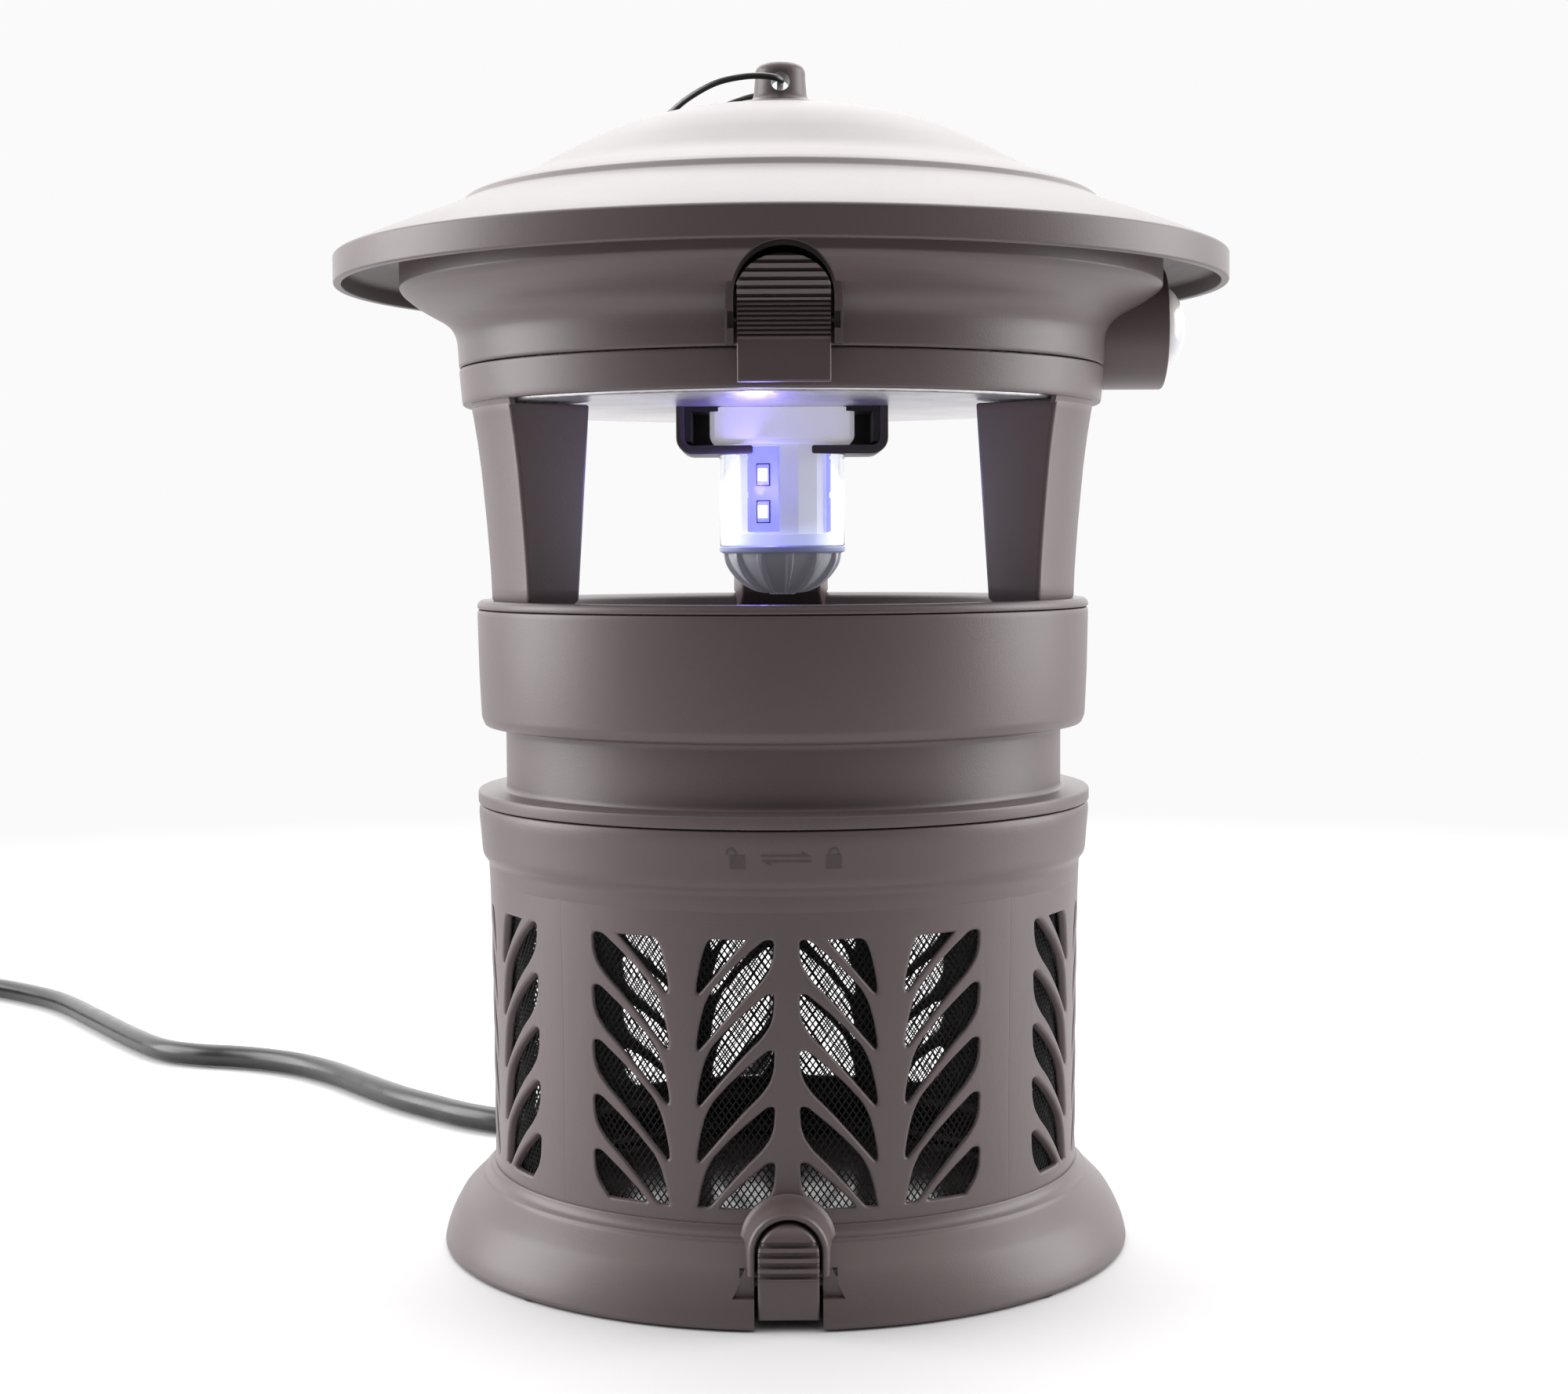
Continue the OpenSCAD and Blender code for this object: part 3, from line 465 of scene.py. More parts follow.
def arch_line(half_width, spring, low, steps=28):
    """Up one side, over a half circle and down the other side: (x, z)."""
    a = np.linspace(np.pi, 0, steps)
    over = np.stack([half_width * np.cos(a), spring + half_width * np.sin(a)], 1)
    return np.vstack([[(-half_width, low)], over, [(half_width, low)]])


def prism(outline, y0, y1):
    """An (x, z) outline carried along Y."""
    o = np.asarray(outline, float)
    n = len(o)
    points = np.vstack([np.stack([o[:, 0], y + 0 * o[:, 0], o[:, 1]], 1) for y in (y0, y1)])
    return points, grid_faces(2, n) + [list(range(n)), list(range(2 * n - 1, n - 1, -1))]


def carved(piece, cutters):
    """The piece after each (points, faces) part is cut out of it."""
    for part in cutters:
        tool = make(piece.name + "_cutter", [part], piece.data.materials[0])
        modifier = piece.modifiers.new("cut", "BOOLEAN")
        modifier.operation, modifier.object, modifier.solver = "DIFFERENCE", tool, "EXACT"
        bpy.context.view_layer.update()
        result = bpy.data.meshes.new_from_object(piece.evaluated_get(bpy.context.evaluated_depsgraph_get()))
        piece.modifiers.clear()
        old, piece.data = piece.data, result
        bpy.data.meshes.remove(old)
        bpy.data.objects.remove(tool)
    piece.data.polygons.foreach_set("use_smooth", [True] * len(piece.data.polygons))
    piece.data.set_sharp_from_angle(angle=radians(33))
    return piece


foot = make("basket_foot", [turned(eased(foot_profile), 320)], taupe)
carved(foot, [prism(arch_line(8.7, 19.6, -5), -110, -82.4),
    prism([(-14.3, 7.6), (14.3, 7.6), (10.9, 14.0), (-10.9, 14.0)], -110, -92.2)])
basket_collar = make("basket_collar", [turned(eased(collar_profile), 256),
    turned(eased(rim_profile, 0.3), 160)], taupe)


def arch_rim(inner, outer, spring, low, front, back, lip=0.55):
    """A wall along an arch: at each point of the arch its section is a rectangle from inner to outer half
    width and from front to back, with a rounded front lip."""
    width = outer - inner
    section = [(0, back), (0, front + lip), (0.12 * lip, front + 0.3 * lip), (lip, front),
        (width - lip, front),
        (width - 0.12 * lip, front + 0.3 * lip), (width, front + lip), (width, back)]
    rows = []
    for out, y in section:
        line = arch_line(inner + out, spring, low)
        rows.append(np.stack([line[:, 0], y + 0 * line[:, 0], line[:, 1]], 1))
    return loft(np.stack(rows, 1))


ARCH_SPRING, ARCH_HALF = 19.4, 8.5
arch = arch_line(ARCH_HALF, ARCH_SPRING, 13.6, 44)
outwards = np.vstack([[(-1, 0)], (arch[1:-1] - (0, ARCH_SPRING)) / ARCH_HALF, [(1, 0)]])
rim_section = [(0, 83), (0, 94.9), (0.15, 95.3), (0.5, 95.5), (1.1, 95.45), (1.55, 95.1), (1.85, 94.3),
    (2.0, 92.5),
    (2.1, 90), (2.3, 87.5), (2.7, 85.6), (3.3, 84.4), (3.8, 83.9), (3.8, 82)]
rim_rows = [np.insert(arch + outwards * out, 1, -depth, axis=1) for out, depth in rim_section]
corner = [(8.75, 1), (14.8, 1), (14.8, 8), (11, 14.6), (8.75, 14.6)]
pocket = make("basket_latch_pocket", [loft(np.stack(rim_rows, 1)),
    prism(arch_line(9, ARCH_SPRING, 9.6), -84.5, -82.2),
    prism(corner, -92.7, -84), prism([(-x, z) for x, z in corner], -92.7, -84)], taupe, sharp=40)
dress(basket_wall, "basket", "taupe_plastic", "catch_basket")
for piece in (foot, basket_collar, pocket):
    dress(piece, "basket", "taupe_plastic")

# Twist marks on the collar: an open and a closed lock with two arrows between them, in shallow relief


def lock(x, slip):
    """A lock's body, and its bow as half a ring that sits slip to the side."""
    a = np.linspace(0, np.pi, 12)
    bow = [(x + slip + 1.45 * np.cos(t), 119.2 + 1.75 * np.sin(t)) for t in a]
    bow += [(x + slip + 0.85 * np.cos(t), 119.2 + 1.15 * np.sin(t)) for t in a[::-1]]
    return [[(x - 1.9, 115.5), (x + 1.9, 115.5), (x + 1.9, 119.1), (x - 1.9, 119.1)], bow]


marks = lock(-12.4, -1.6) + lock(12.1, 0) + [[(3.9, 118.6), (6.4, 118.6), (3.9, 120.2)],
    [(-6.4, 117.8), (-3.9, 116.2), (-3.9, 117.8)]]
for x in np.arange(-6.4, 3.8, 2.06):
    marks.append([(x, 118.6), (x + 2.06, 118.6), (x + 2.06, 119.2), (x, 119.2)])
    marks.append([(x + 2.5, 117.2), (x + 4.56, 117.2), (x + 4.56, 117.8), (x + 2.5, 117.8)])
mark_parts = []
for outline in marks:
    points, faces = prism(outline, 0, 1)
    lift = np.where(points[:, 1] < 0.5, 0.10, -0.8)
    radius = np.interp(points[:, 2], [112, 117, 122], [85.8, 86.15, 86.6]) + lift
    points[:, 1] = -np.sqrt(radius**2 - points[:, 0] ** 2)
    mark_parts.append((points, faces))
mark_finish = moulded("taupe_plastic_mark", [c * 0.62 for c in TAUPE], 0.5)
dress(make("basket_twist_marks", mark_parts, mark_finish), "basket", "taupe_plastic")

# Net of the basket: two families of thin strands that wind round the wall in opposite directions
net_finish = Finish("black_mesh", (0.012, 0.012, 0.013), 0.6)
net_finish.feed("Roughness", 0.5 + 0.2 * net_finish.noise(700))
STRANDS, NET_RADIUS, NET_LOW, NET_HIGH = 268, 80.5, 22.6, 104
STRAND_RADIUS, CELL_WIDTH, CELL_HEIGHT = 0.23, 1.9, 2.7
rise = np.linspace(0, 1, 13)
strands = []
start = 2 * np.pi * np.arange(STRANDS) / STRANDS
for family in (1, -1):
    z = NET_LOW + (NET_HIGH - NET_LOW) * rise
    a = start[:, None] + family * (z - NET_LOW)[None, :] * CELL_WIDTH / CELL_HEIGHT / NET_RADIUS
    out = np.stack([np.cos(a), np.sin(a), 0 * a], -1)
    along = np.stack([-np.sin(a), np.cos(a), 0 * a], -1)
    centre = out * (NET_RADIUS + 0.07 * family) + np.array([0, 0, 1.0]) * z[None, :, None]
    for k in range(3):
        t = 2 * np.pi * k / 3
        strands.append((family, centre + STRAND_RADIUS * (out * np.cos(t) + along * np.sin(t) / 0.81)))
net_parts = []
for family in (1, -1):
    rings = np.stack([p for f, p in strands if f == family], 2)
    faces = []
    each = len(rise) * 3
    base = np.array(grid_faces(len(rise), 3))
    for i in range(STRANDS):
        faces.append(base + i * each)
    faces = np.vstack(faces).tolist()
    for i in range(STRANDS):
        faces += [[i * each, i * each + 1, i * each + 2],
            [i * each + each - 1, i * each + each - 2, i * each + each - 3]]
    net_parts.append((rings.reshape(-1, 3), faces))
net = make("net_strands", net_parts, net_finish.material, sharp=80)
dress(net, "basket", "black_mesh", "mesh_liner")

# Bottom latch: a small lever with four finger grooves on a dark pin
def lever(levels, spring, half_width, side_ease=0.7, crown=None):
    """A lever built of level slices: each slice is (z, front, back), its half width follows the arch (an
    ellipse of height crown above the spring line), and its front corners are rounded."""
    crown = crown or half_width
    rows = []
    for z, front, back, *ease in levels:
        half = half_width if z <= spring else half_width * np.sqrt(max(1 - ((z - spring) / crown) ** 2,
            0.006))
        e = min(ease[0] if ease else side_ease, half * 0.6, abs(back - front) * 0.45)
        a = np.radians(np.linspace(0, 90, 5))
        left = [(-half + e - e * np.sin(t), front + e - e * np.cos(t)) for t in a][::-1]
        right = [(half - e + e * np.sin(t), front + e - e * np.cos(t)) for t in a]
        front_line = left + [(x * (half - e), front) for x in np.linspace(-0.9, 0.9, 9)] + right
        rows.append([(x, y, z) for x, y in front_line + [(half, back), (-half, back)]])
    return loft(np.array(rows))


bottom_levels = [(2.4, -95.5, -92.6), (2.7, -96, -92.6), (9, -96, -92.6), (12.2, -96, -92.1),
    (12.5, -96.1, -91.9),
    (12.8, -97.2, -91.8), (13.1, -97.7, -91.7)]
for z in (13.6, 16.25, 18.9, 21.5):
    ease = 1.9 if z == 21.5 else 0.7
    bottom_levels += [(z - 0.15, -97.8, -91.7, 0.7), (z, -96.2, -91.7, ease), (z + 0.95, -96.05, -91.7, ease),
        (z + 1.2, -97.3, -91.7, 0.7), (z + 1.5, -97.8, -91.7, 0.7)]
bottom_levels += [(24.0, -97.6, -91.8), (25.0, -97.2, -91.9), (25.9, -96.6, -92.1), (26.4, -95.9, -92.3),
    (26.7, -95.1, -92.4), (26.82, -94.4, -92.6)]
bottom_latch = make("bottom_latch_lever", [lever(bottom_levels, 19.1, 7.75), turned(eased(
    [(1.5, -7.75), (2.9, -7.75), (2.9, 7.75), (1.5, 7.75)], 0.2), 32, axis="x", at=(0, -91, 13.1)),
    block((-6, -94, 3.4), (6, -84.4, 5.4))], taupe, sharp=25)
dress(bottom_latch, "bottom_latch", "taupe_plastic", "bottom_latch")

# ---- fan housing and legs ----
# A turned-looking taupe moulding with a plain band, a narrow neck and a flange that sits on the basket's seal.
# Its top cap carries three curved legs, screwed on from below, that hold up the ring under the head.
housing_profile = [(83.9, 150), (84, 179.5), (86.3, 179.5, 0.3), (86.5, 178.6, 0.6), (86.2, 163, 4),
    (85.6, 149.5, 0.8),
    (84.6, 147, 0.8), (79.4, 146.8, 0.8), (78.8, 145.5, 0.8), (78.8, 129.8, 0.8), (79.4, 128.95, 0.6),
    (86.4, 128.9, 0.4),
    (86.8, 128.5, 0.5), (86.8, 125.4, 0.4), (77.4, 125.4), (77.4, 112), (75, 112), (75, 148)]
boss = turned(eased([(6.2, 83), (9, 83), (9, 86.9), (6.2, 86.9)], 0.4), 64, axis="y", at=(0, 0, GLAND_Z))
dress(make("fan_housing_band", [turned(eased(housing_profile), 320), boss], taupe), "trap_unit",
    "taupe_plastic",
    "fan_housing")
lip_profile = [(72, 171.4), (72.4, 169.8), (83.4, 178), (83.4, 179.8), (86.3, 179.8, 0.3), (86.5, 180.2, 0.3),
    (86.5, 181.1, 0.5), (85.6, 182.2, 0.5), (82, 182.2, 1), (79.6, 181, 1)]
dress(make("top_cap_funnel", [turned(eased(lip_profile), 320)], taupe), "trap_unit", "taupe_plastic",
    "top_cap")

LEG_HALF = radians(10.4)
LEG_ANGLES = (65, -65, 180)
leg_z = np.array([176.5, 182.35, 182.8, 186, 190, 196, 203, 211, 218, 226, 233, 234.6, 235.0, 235.2])
leg_shrink = np.array([0, 0.25, 0, 0, 0, 0, 0, 0, 0, 0, 0, 0, 0.15, 0.5])
leg_out = np.interp(leg_z, [176.5, 182.2, 190, 196, 204, 218, 226, 233, 237.4],
    [81.8, 83.3, 83.6, 84, 84.6, 85.9, 86.9, 88, 88.9])
leg_in = np.interp(leg_z, [176.5, 182, 182.2, 235.2], [74.8, 74.8, 67.4, 63.5])


def leg(azimuth):
    """One leg: at each height a ring sector from leg_in to leg_out, with radial sides and rounded corners."""
    rows = []
    for z, shrink, inner, outer in zip(leg_z, leg_shrink, leg_in, leg_out):
        inner, outer, e = inner + shrink, outer - shrink, 1.1
        half = LEG_HALF - shrink / outer
        corner = np.radians(np.linspace(0, 90, 5))
        r, a = [], []
        for t in corner:
            r.append(outer - e + e * np.sin(t)), a.append(-half + (e - e * np.cos(t)) / outer)
        for f in np.linspace(-0.86, 0.86, 9):
            r.append(outer), a.append(f * half)
        for t in corner:
            r.append(outer - e + e * np.cos(t)), a.append(half - (e - e * np.sin(t)) / outer)
        for t in corner:
            r.append(inner + e - e * np.sin(t)), a.append(half - (e - e * np.cos(t)) / inner)
        for t in corner:
            r.append(inner + e - e * np.cos(t)), a.append(-half + (e - e * np.sin(t)) / inner)
        r, a = np.array(r), np.array(a) + radians(azimuth)
        rows.append(np.stack([r * np.sin(a), -r * np.cos(a), z + 0 * r], 1))
    return loft(rows)


def skin(azimuth):
    """The leg's outer skin where it runs up into the ring."""
    a = radians(azimuth) + LEG_HALF * np.linspace(-1, 1, 9)
    rows = []
    for z, inner, outer in ((234.6, 86.6, 88.15), (236.4, 86.9, 88.6), (237.6, 87.3, 88.9)):
        r = np.r_[[outer] * 9, [inner] * 9]
        b = np.r_[a, a[::-1]]
        rows.append(np.stack([r * np.sin(b), -r * np.cos(b), z + 0 * r], 1))
    return loft(rows)


HINGE = (0, 95, 247)
ring_profile = [(87, 236.4), (89.7, 236.4, 0.5), (90.0, 237.4, 1.5), (90.7, 245.8, 0.5), (90.5, 246.35, 0.3),
    (87.7, 246.35)]
knuckle = turned(eased([(1.5, -6.7), (3.4, -6.7), (3.4, 6.7), (1.5, 6.7)], 0.3), 48, axis="x", at=HINGE)
legs = make("leg_ring", [leg(a) for a in LEG_ANGLES] + [skin(a) for a in LEG_ANGLES]
    + [turned(eased(ring_profile), 320), knuckle, block((-6.7, 88.4, 239.5), (6.7, 95, 245.1))], taupe)
dress(legs, "trap_unit", "taupe_plastic", "leg_cage")

# ---- head ----
# The head hinges on the ring: a waisted housing with a level strip above a cove, the catch pocket at the front
# and a light sensor's barrel at the side, under a broad shallow roof.
head_profile = [(104.4, 281.5), (106.9, 281.5, 0.2), (107, 281, 0.2), (107, 268.6, 0.4), (106.2, 267.2, 1),
    (102.5, 264.2, 3),
    (98.7, 262, 3), (95.6, 260.4, 3), (93.1, 258.5, 2.5), (91.7, 256.2, 2.5), (91.1, 253.8, 2),
    (90.75, 247.2, 0.5),
    (90.4, 246.65, 0.3), (88, 246.65), (88, 248.6), (9, 248.6), (9, 251), (88.4, 251), (89, 257.6),
    (91, 260.2),
    (96, 263.2), (102, 267.6), (104.4, 269.4)]
SENSOR = (0, 0, 258)
housing = make("head_shell", [turned(eased(head_profile), 320)], taupe)
bore = turned([(0, 100.8), (14.7, 100.8), (14.7, 130), (0, 130)], 96, axis="x", at=SENSOR)
carved(housing, [prism(arch_line(13.2, 257.9, 240), -112, -90.6), bore])
barrel = turned(eased([(0, 88, 0), (17.2, 88, 0), (17.2, 107.8, 0.7), (14.7, 107.8, 0.3), (14.7, 102, 0.3),
    (0, 102, 0)]),
    128, axis="x", at=SENSOR)
knuckles = []
for s in (-1, 1):
    knuckles += [turned(eased([(1.5, s * 10.7 - 3.7), (3.4, s * 10.7 - 3.7), (3.4, s * 10.7 + 3.7),
        (1.5, s * 10.7 + 3.7)], 0.3), 48, axis="x", at=HINGE),
        block((s * 10.7 - 3.7, 88.8, 247.6), (s * 10.7 + 3.7, 96.4, 253.6))]
pocket_parts = [arch_rim(12.4, 14.5, 258.2, 246.9, -97.4, -88.4, 0.4),
    prism(arch_line(13.6, 257.9, 247), -90.9, -88.6)]
head_trim = make("head_trim", [barrel] + knuckles + pocket_parts, taupe)
carved(head_trim, [block((s * 12.9 - 1.0, -99, 250.4), (s * 12.9 + 1.0, -94.4, 254.6)) for s in (-1, 1)])
dress(housing, "head", "taupe_plastic", "head_housing")
dress(head_trim, "head", "taupe_plastic")

roof_profile = [(3.2, 318.9, 0), (16, 318.5, 6), (25, 317.8, 5), (33, 316.9, 5), (42, 314.4, 5),
    (49, 311.9, 5),
    (58, 307.6, 5), (66, 303.2, 5), (74, 298.9, 5), (81.5, 296.2, 3), (86.4, 294.3, 1), (88.6, 293.2, 0.4),
    (90.3, 291.3, 0.5), (92.6, 290.2, 0.8), (101.5, 286.8, 6), (108, 284.3, 4), (115.8, 281.2, 4),
    (121, 279.0, 2),
    (124.5, 277.4, 0.4), (125, 276.8, 0.25), (125, 269.6, 0.35), (124.6, 269.2, 0.2), (122.8, 269.2, 0.4),
    (122.8, 274.4, 1.5), (119.6, 277.6, 2), (108, 282.2, 4), (88.4, 288.9, 1), (87.4, 291.4, 1), (74, 296, 3),
    (66, 300.4, 3), (58, 305, 3), (49, 309.4, 3), (33, 314.4, 4), (3.2, 316.2, 0)]
roof = make("roof_shell", [turned(eased(roof_profile, 0.4, 4), 360)], taupe, sharp=30)
dress(roof, "head", "taupe_plastic", "roof")

post_profile = [(0, 313, 0), (3, 313, 0), (3, 318.9, 0), (16.4, 318.9, 0.3), (16.2, 319.9, 0.5),
    (15, 320.4, 1),
    (9.4, 321.2, 1), (8, 322.2, 0.8), (7.5, 323.4, 0.8), (7.1, 328, 2)]
post_profile += [(4.1 + 3 * np.cos(t), 329.4 + 3 * np.sin(t), 0) for t in np.linspace(0, np.pi / 2,
    9)] + [(0, 332.4, 0)]
post = make("hanger_stud", [turned(eased(post_profile), 128)], taupe)
hole = turned([(0, -20), (2.65, -20), (2.65, 20), (0, 20)], 48, axis="y", at=(0, 0, 326.4))
carved(post, [hole])
dress(post, "head", "taupe_plastic", "hanger_post")

# Top latch: a ribbed press lever on a pin, its upper end flared outwards
top_levels = [(237.5, -95.6, -92.6), (237.9, -96, -92.4), (240, -96, -92.4), (244, -96, -92.4),
    (246, -96, -92.6),
    (247.7, -96, -93.8), (247.9, -96.9, -94)]
for k in range(8):
    z = 248.4 + 1.17 * k
    top_levels += [(z, -97, -94.2), (z + 0.06, -95.9, -94.2), (z + 0.5, -95.85, -94.2),
        (z + 0.66, -97, -94.2)]
for z in (257.8, 259.8, 261.8, 263.8, 265.8):
    face = -97 - 0.40 * (z - 257.8)
    top_levels += [(z, face - 0.3, face + 2.7), (z + 0.1, face + 0.95, face + 2.7),
        (z + 0.75, face + 0.75, face + 2.6), (z + 0.95, face - 0.4, face + 2.5)]
top_levels += [(267.6, -101, -97.1), (268.2, -100.5, -97.2), (268.6, -99.6, -97.4), (268.75, -98.7, -97.6)]
top_latch = make("top_latch_lever", [lever(top_levels, 259.6, 11.6, 0.45, 8.8), turned(eased(
    [(1.25, -11.6), (2, -11.6), (2, 11.6), (1.25, 11.6)], 0.2), 32, axis="x", at=(0, -93.2, 253.1))], taupe,
    sharp=25)
dress(top_latch, "top_latch", "taupe_plastic", "top_latch")

# Light sensor: a pearly dome in a shallow ring
pearl = Finish("lens_clear", (0.72, 0.70, 0.66), 0.18, Coat_Weight=0.6, Coat_Roughness=0.06,
    Subsurface_Weight=0.15,
    Subsurface_Scale=0.004)
cloud = pearl.noise(120, 2)
pearl.tint(cloud, (0.60, 0.62, 0.66), (0.80, 0.76, 0.70)).feed("Roughness", 0.12 + 0.1 * cloud)
dome_profile = [(0, 106.4, 0), (14.5, 106.4, 0), (14.5, 107.6, 0.3), (12.3, 107.8, 0.3)]
dome_profile += [(11.65 * np.cos(t), 107.8 + 6.3 * np.sin(t), 0) for t in np.linspace(0.05, np.pi / 2, 18)]
dress(make("sensor_dome", [turned(eased(dome_profile), 96, axis="x", at=SENSOR)], pearl.material), "head",
    "lens_clear", "sensor_lens")

# ---- lamp ----
# A silver reflector sheet, a dark bracket, and a plug-in lamp: white base, clear tube, a grey core with three
# LED boards, a collar with painted glow and a ribbed cap. Only the LED chips are lamps; the faint emission on
# the base, core, boards, collar and cap is painted glow.
silver = Finish("reflector_sheet", (0.62, 0.61, 0.63), 0.3, Metallic=0.75)
dimple = silver.node("ShaderNodeTexVoronoi", {"feature": "SMOOTH_F1"},
    {"Vector": silver.place, "Scale": 420.0}, "Distance")
silver.feed("Roughness", 0.25 + 0.15 * silver.noise(60)).bump(dimple, 0.0004, 0.7)
silver.tint(silver.noise(35), (0.52, 0.51, 0.53), (0.68, 0.67, 0.68))
dress(make("reflector_sheet", [turned(eased([(9, 235.8), (85.4, 235.8), (86, 236.3), (86, 248.6),
    (84.4, 248.6),
    (84.4, 237.3), (9, 237.3)], 0.3), 192)], silver.material), "head", "reflector_sheet", "reflector_plate")

dark_brown = moulded("brown_plastic", (0.060, 0.048, 0.050), 0.38)


def cradle(width, z0, corner, thickness, half_depth):
    """A U-shaped strip: it goes down, across with round corners and up, with a rectangular section."""
    hw = width / 2
    turns = np.radians(np.linspace(180, 270, 9))
    down = np.stack([-hw + corner + corner * np.cos(turns), z0 + corner + corner * np.sin(turns)], 1)
    line = np.vstack([[(-hw, 235.8)], down, (down * (-1, 1))[::-1], [(hw, 235.8)]])
    normal = np.vstack([[(1, 0)], -np.stack([np.cos(turns), np.sin(turns)], 1),
        (-np.stack([np.cos(turns), np.sin(turns)], 1) * (-1, 1))[::-1], [(-1, 0)]])
    e = 0.45
    rows = []
    for depth, y in [(0, -half_depth + e), (0.13, -half_depth + 0.13), (e, -half_depth),
        (thickness - e, -half_depth),
            (thickness - 0.13, -half_depth + 0.13), (thickness, -half_depth + e), (thickness, half_depth - e),
            (thickness - e, half_depth), (e, half_depth), (0, half_depth - e)]:
        p = line + normal * depth
        rows.append(np.stack([p[:, 0], y + 0 * p[:, 0], p[:, 1]], 1))
    return loft(np.stack(rows, 1))


bracket = make("lamp_cradle", [cradle(59, 222.6, 4.4, 2.4, 16)], dark_brown)
carved(bracket, [turned([(0, 221), (18, 221), (18, 226), (0, 226)], 64)])
cradle_back = [(-27.2, 224.9), (27.2, 224.9), (27.2, 235.8), (-27.2, 235.8)]
cradle_lining = [block((s * 26.2 - 0.9, -15.4, 226), (s * 26.2 + 0.9, 14, 235.7)) for s in (-1, 1)]
# A near-black copy of the brown plastic: painted shade on the cradle's closed back and its linings; the LED
# chips' dark frames use it too
painted_shade_and_frame_black = moulded("near_black_painted_shade_and_led_frames", (0.014, 0.011, 0.012), 0.6)
flange = make("lamp_cradle_back", [prism(cradle_back, 9, 15.7),
    block((-27, -14.8, 234.4), (27, 15.8, 235.75))] + cradle_lining,
    painted_shade_and_frame_black)
dress(bracket, "head", "brown_plastic", "lamp_bracket")
dress(flange, "head", "brown_plastic")

# White plastic; its faint emission is painted glow standing in for the LEDs' light on the lamp's base
white = Finish("white_plastic", (0.78, 0.79, 0.84), 0.3, Emission_Color=(0.85, 0.85, 0.92, 1),
    Emission_Strength=0.28)
haze = white.noise(90)
white.feed("Roughness", 0.24 + 0.14 * haze).tint(haze, (0.76, 0.77, 0.82), (0.80, 0.81, 0.86))
base_rows = []
for z, shrink in ((225.3, 2.4), (225.5, 1.6), (226, 0.8), (226.7, 0.25), (227.6, 0), (235.5, 0),
    (235.75, 0.3)):
    c, s = np.cos(plug_turn), np.sin(plug_turn)
    size = (np.abs(c) ** 9 + np.abs(s) ** 9) ** (-1 / 9)
    base_rows.append(np.stack([(20.3 - shrink) * c * size, (15.6 - shrink) * s * size, z + 0 * c], 1))
dress(make("lamp_base_block", [loft(base_rows)], white.material), "head", "white_plastic", "lamp_base")

glass = Finish("clear_tube", (0.93, 0.95, 1.0), 0.03, Transmission_Weight=1.0, IOR=1.14)
glass.feed("Roughness", 0.02 + 0.03 * glass.noise(60))
dress(make("lamp_tube_clear", [turned(eased([(16.6, 197.1), (17.8, 197.1), (17.8, 225.2), (16.6, 225.2)],
    0.2), 128)],
    glass.material), "head", "clear_tube", "lamp_tube")

# The boards' violet emission is painted glow standing in for the LEDs' light on them; only the chips are lamps
board_finish = Finish("led_board", (0.30, 0.30, 0.45), 0.4, Emission_Strength=0.85)
board_finish.feed("Emission Color", board_finish.node("ShaderNodeValToRGB",
    {"stops": [(0.3, (0.22, 0.24, 0.80)), (0.8, (0.30, 0.32, 0.95))]}, {"Fac": board_finish.noise(300)},
    "Color"))
chip_finish = Finish("led_chip", (0.9, 0.9, 1.0), 0.3, Emission_Strength=4.0)
chip_finish.feed("Emission Color", chip_finish.node("ShaderNodeValToRGB",
    {"stops": [(0.2, (0.42, 0.44, 1.0)), (0.8, (0.55, 0.58, 1.0))]}, {"Fac": chip_finish.noise(500)},
    "Color"))


def swung(part, degrees):
    """A part turned round the lamp's axis."""
    points, faces = part
    c, s = np.cos(radians(degrees)), np.sin(radians(degrees))
    return np.asarray(points) @ np.array([(c, s, 0), (-s, c, 0), (0, 0, 1)]), faces


boards, chips, frames = [], [], []
for a in (-24, 96, 216):
    parts = [block((-4.6, -12.9, 201), (4.6, -12.1, 224.6))]
    for x in (-4.4, 4.4):
        for z0, z1 in ((201.2, 210.6), (212, 221.2), (222, 224.4)):
            parts.append(block((x - 0.3, -13.3, z0), (x + 0.3, -12.8, z1)))
    for z in (206.6, 216.8):
        edge = ((-2.05, -1.8, 3.15), (1.8, 2.05, 3.15))
        frames += [swung(block((x0, -13.15, z - h), (x1, -12.85, z + h)), a) for x0, x1, h in edge]
        frames += [swung(block((-2.05, -13.15, z + h - 0.13), (2.05, -12.85, z + h + 0.13)),
            a) for h in (-3.02, 3.02)]
        chips.append(swung(block((-1.3, -13.8, z - 1.7), (1.3, -12.85, z + 1.7)), a))
        parts.append(block((-1.75, -13.3, z - 2.6), (1.75, -12.85, z + 2.6)))
    boards += [swung(part, a) for part in parts]
dress(make("led_frames", frames, painted_shade_and_frame_black), "head", "led_board")
dress(make("led_board_rails", boards, board_finish.material), "head", "led_board", "led_strips")
dress(make("led_chips", chips, chip_finish.material), "head", "led_board")

# The collar's violet emission is painted glow standing in for the LEDs' light shining through it
glowing = Finish("lamp_collar_glow", (0.75, 0.78, 0.92), 0.35, Emission_Strength=0.45)
glowing.feed("Emission Color", glowing.node("ShaderNodeValToRGB",
    {"stops": [(0.2, (0.55, 0.60, 1.0)), (0.8, (0.75, 0.78, 1.0))]}, {"Fac": glowing.noise(90)}, "Color"))
dress(make("lamp_collar_ring", [turned(eased([(9, 197.1), (14.4, 197.1), (14.4, 200.4), (9, 200.4)], 0.3),
    96)],
    glowing.material), "head", "white_plastic", "lamp_collar")
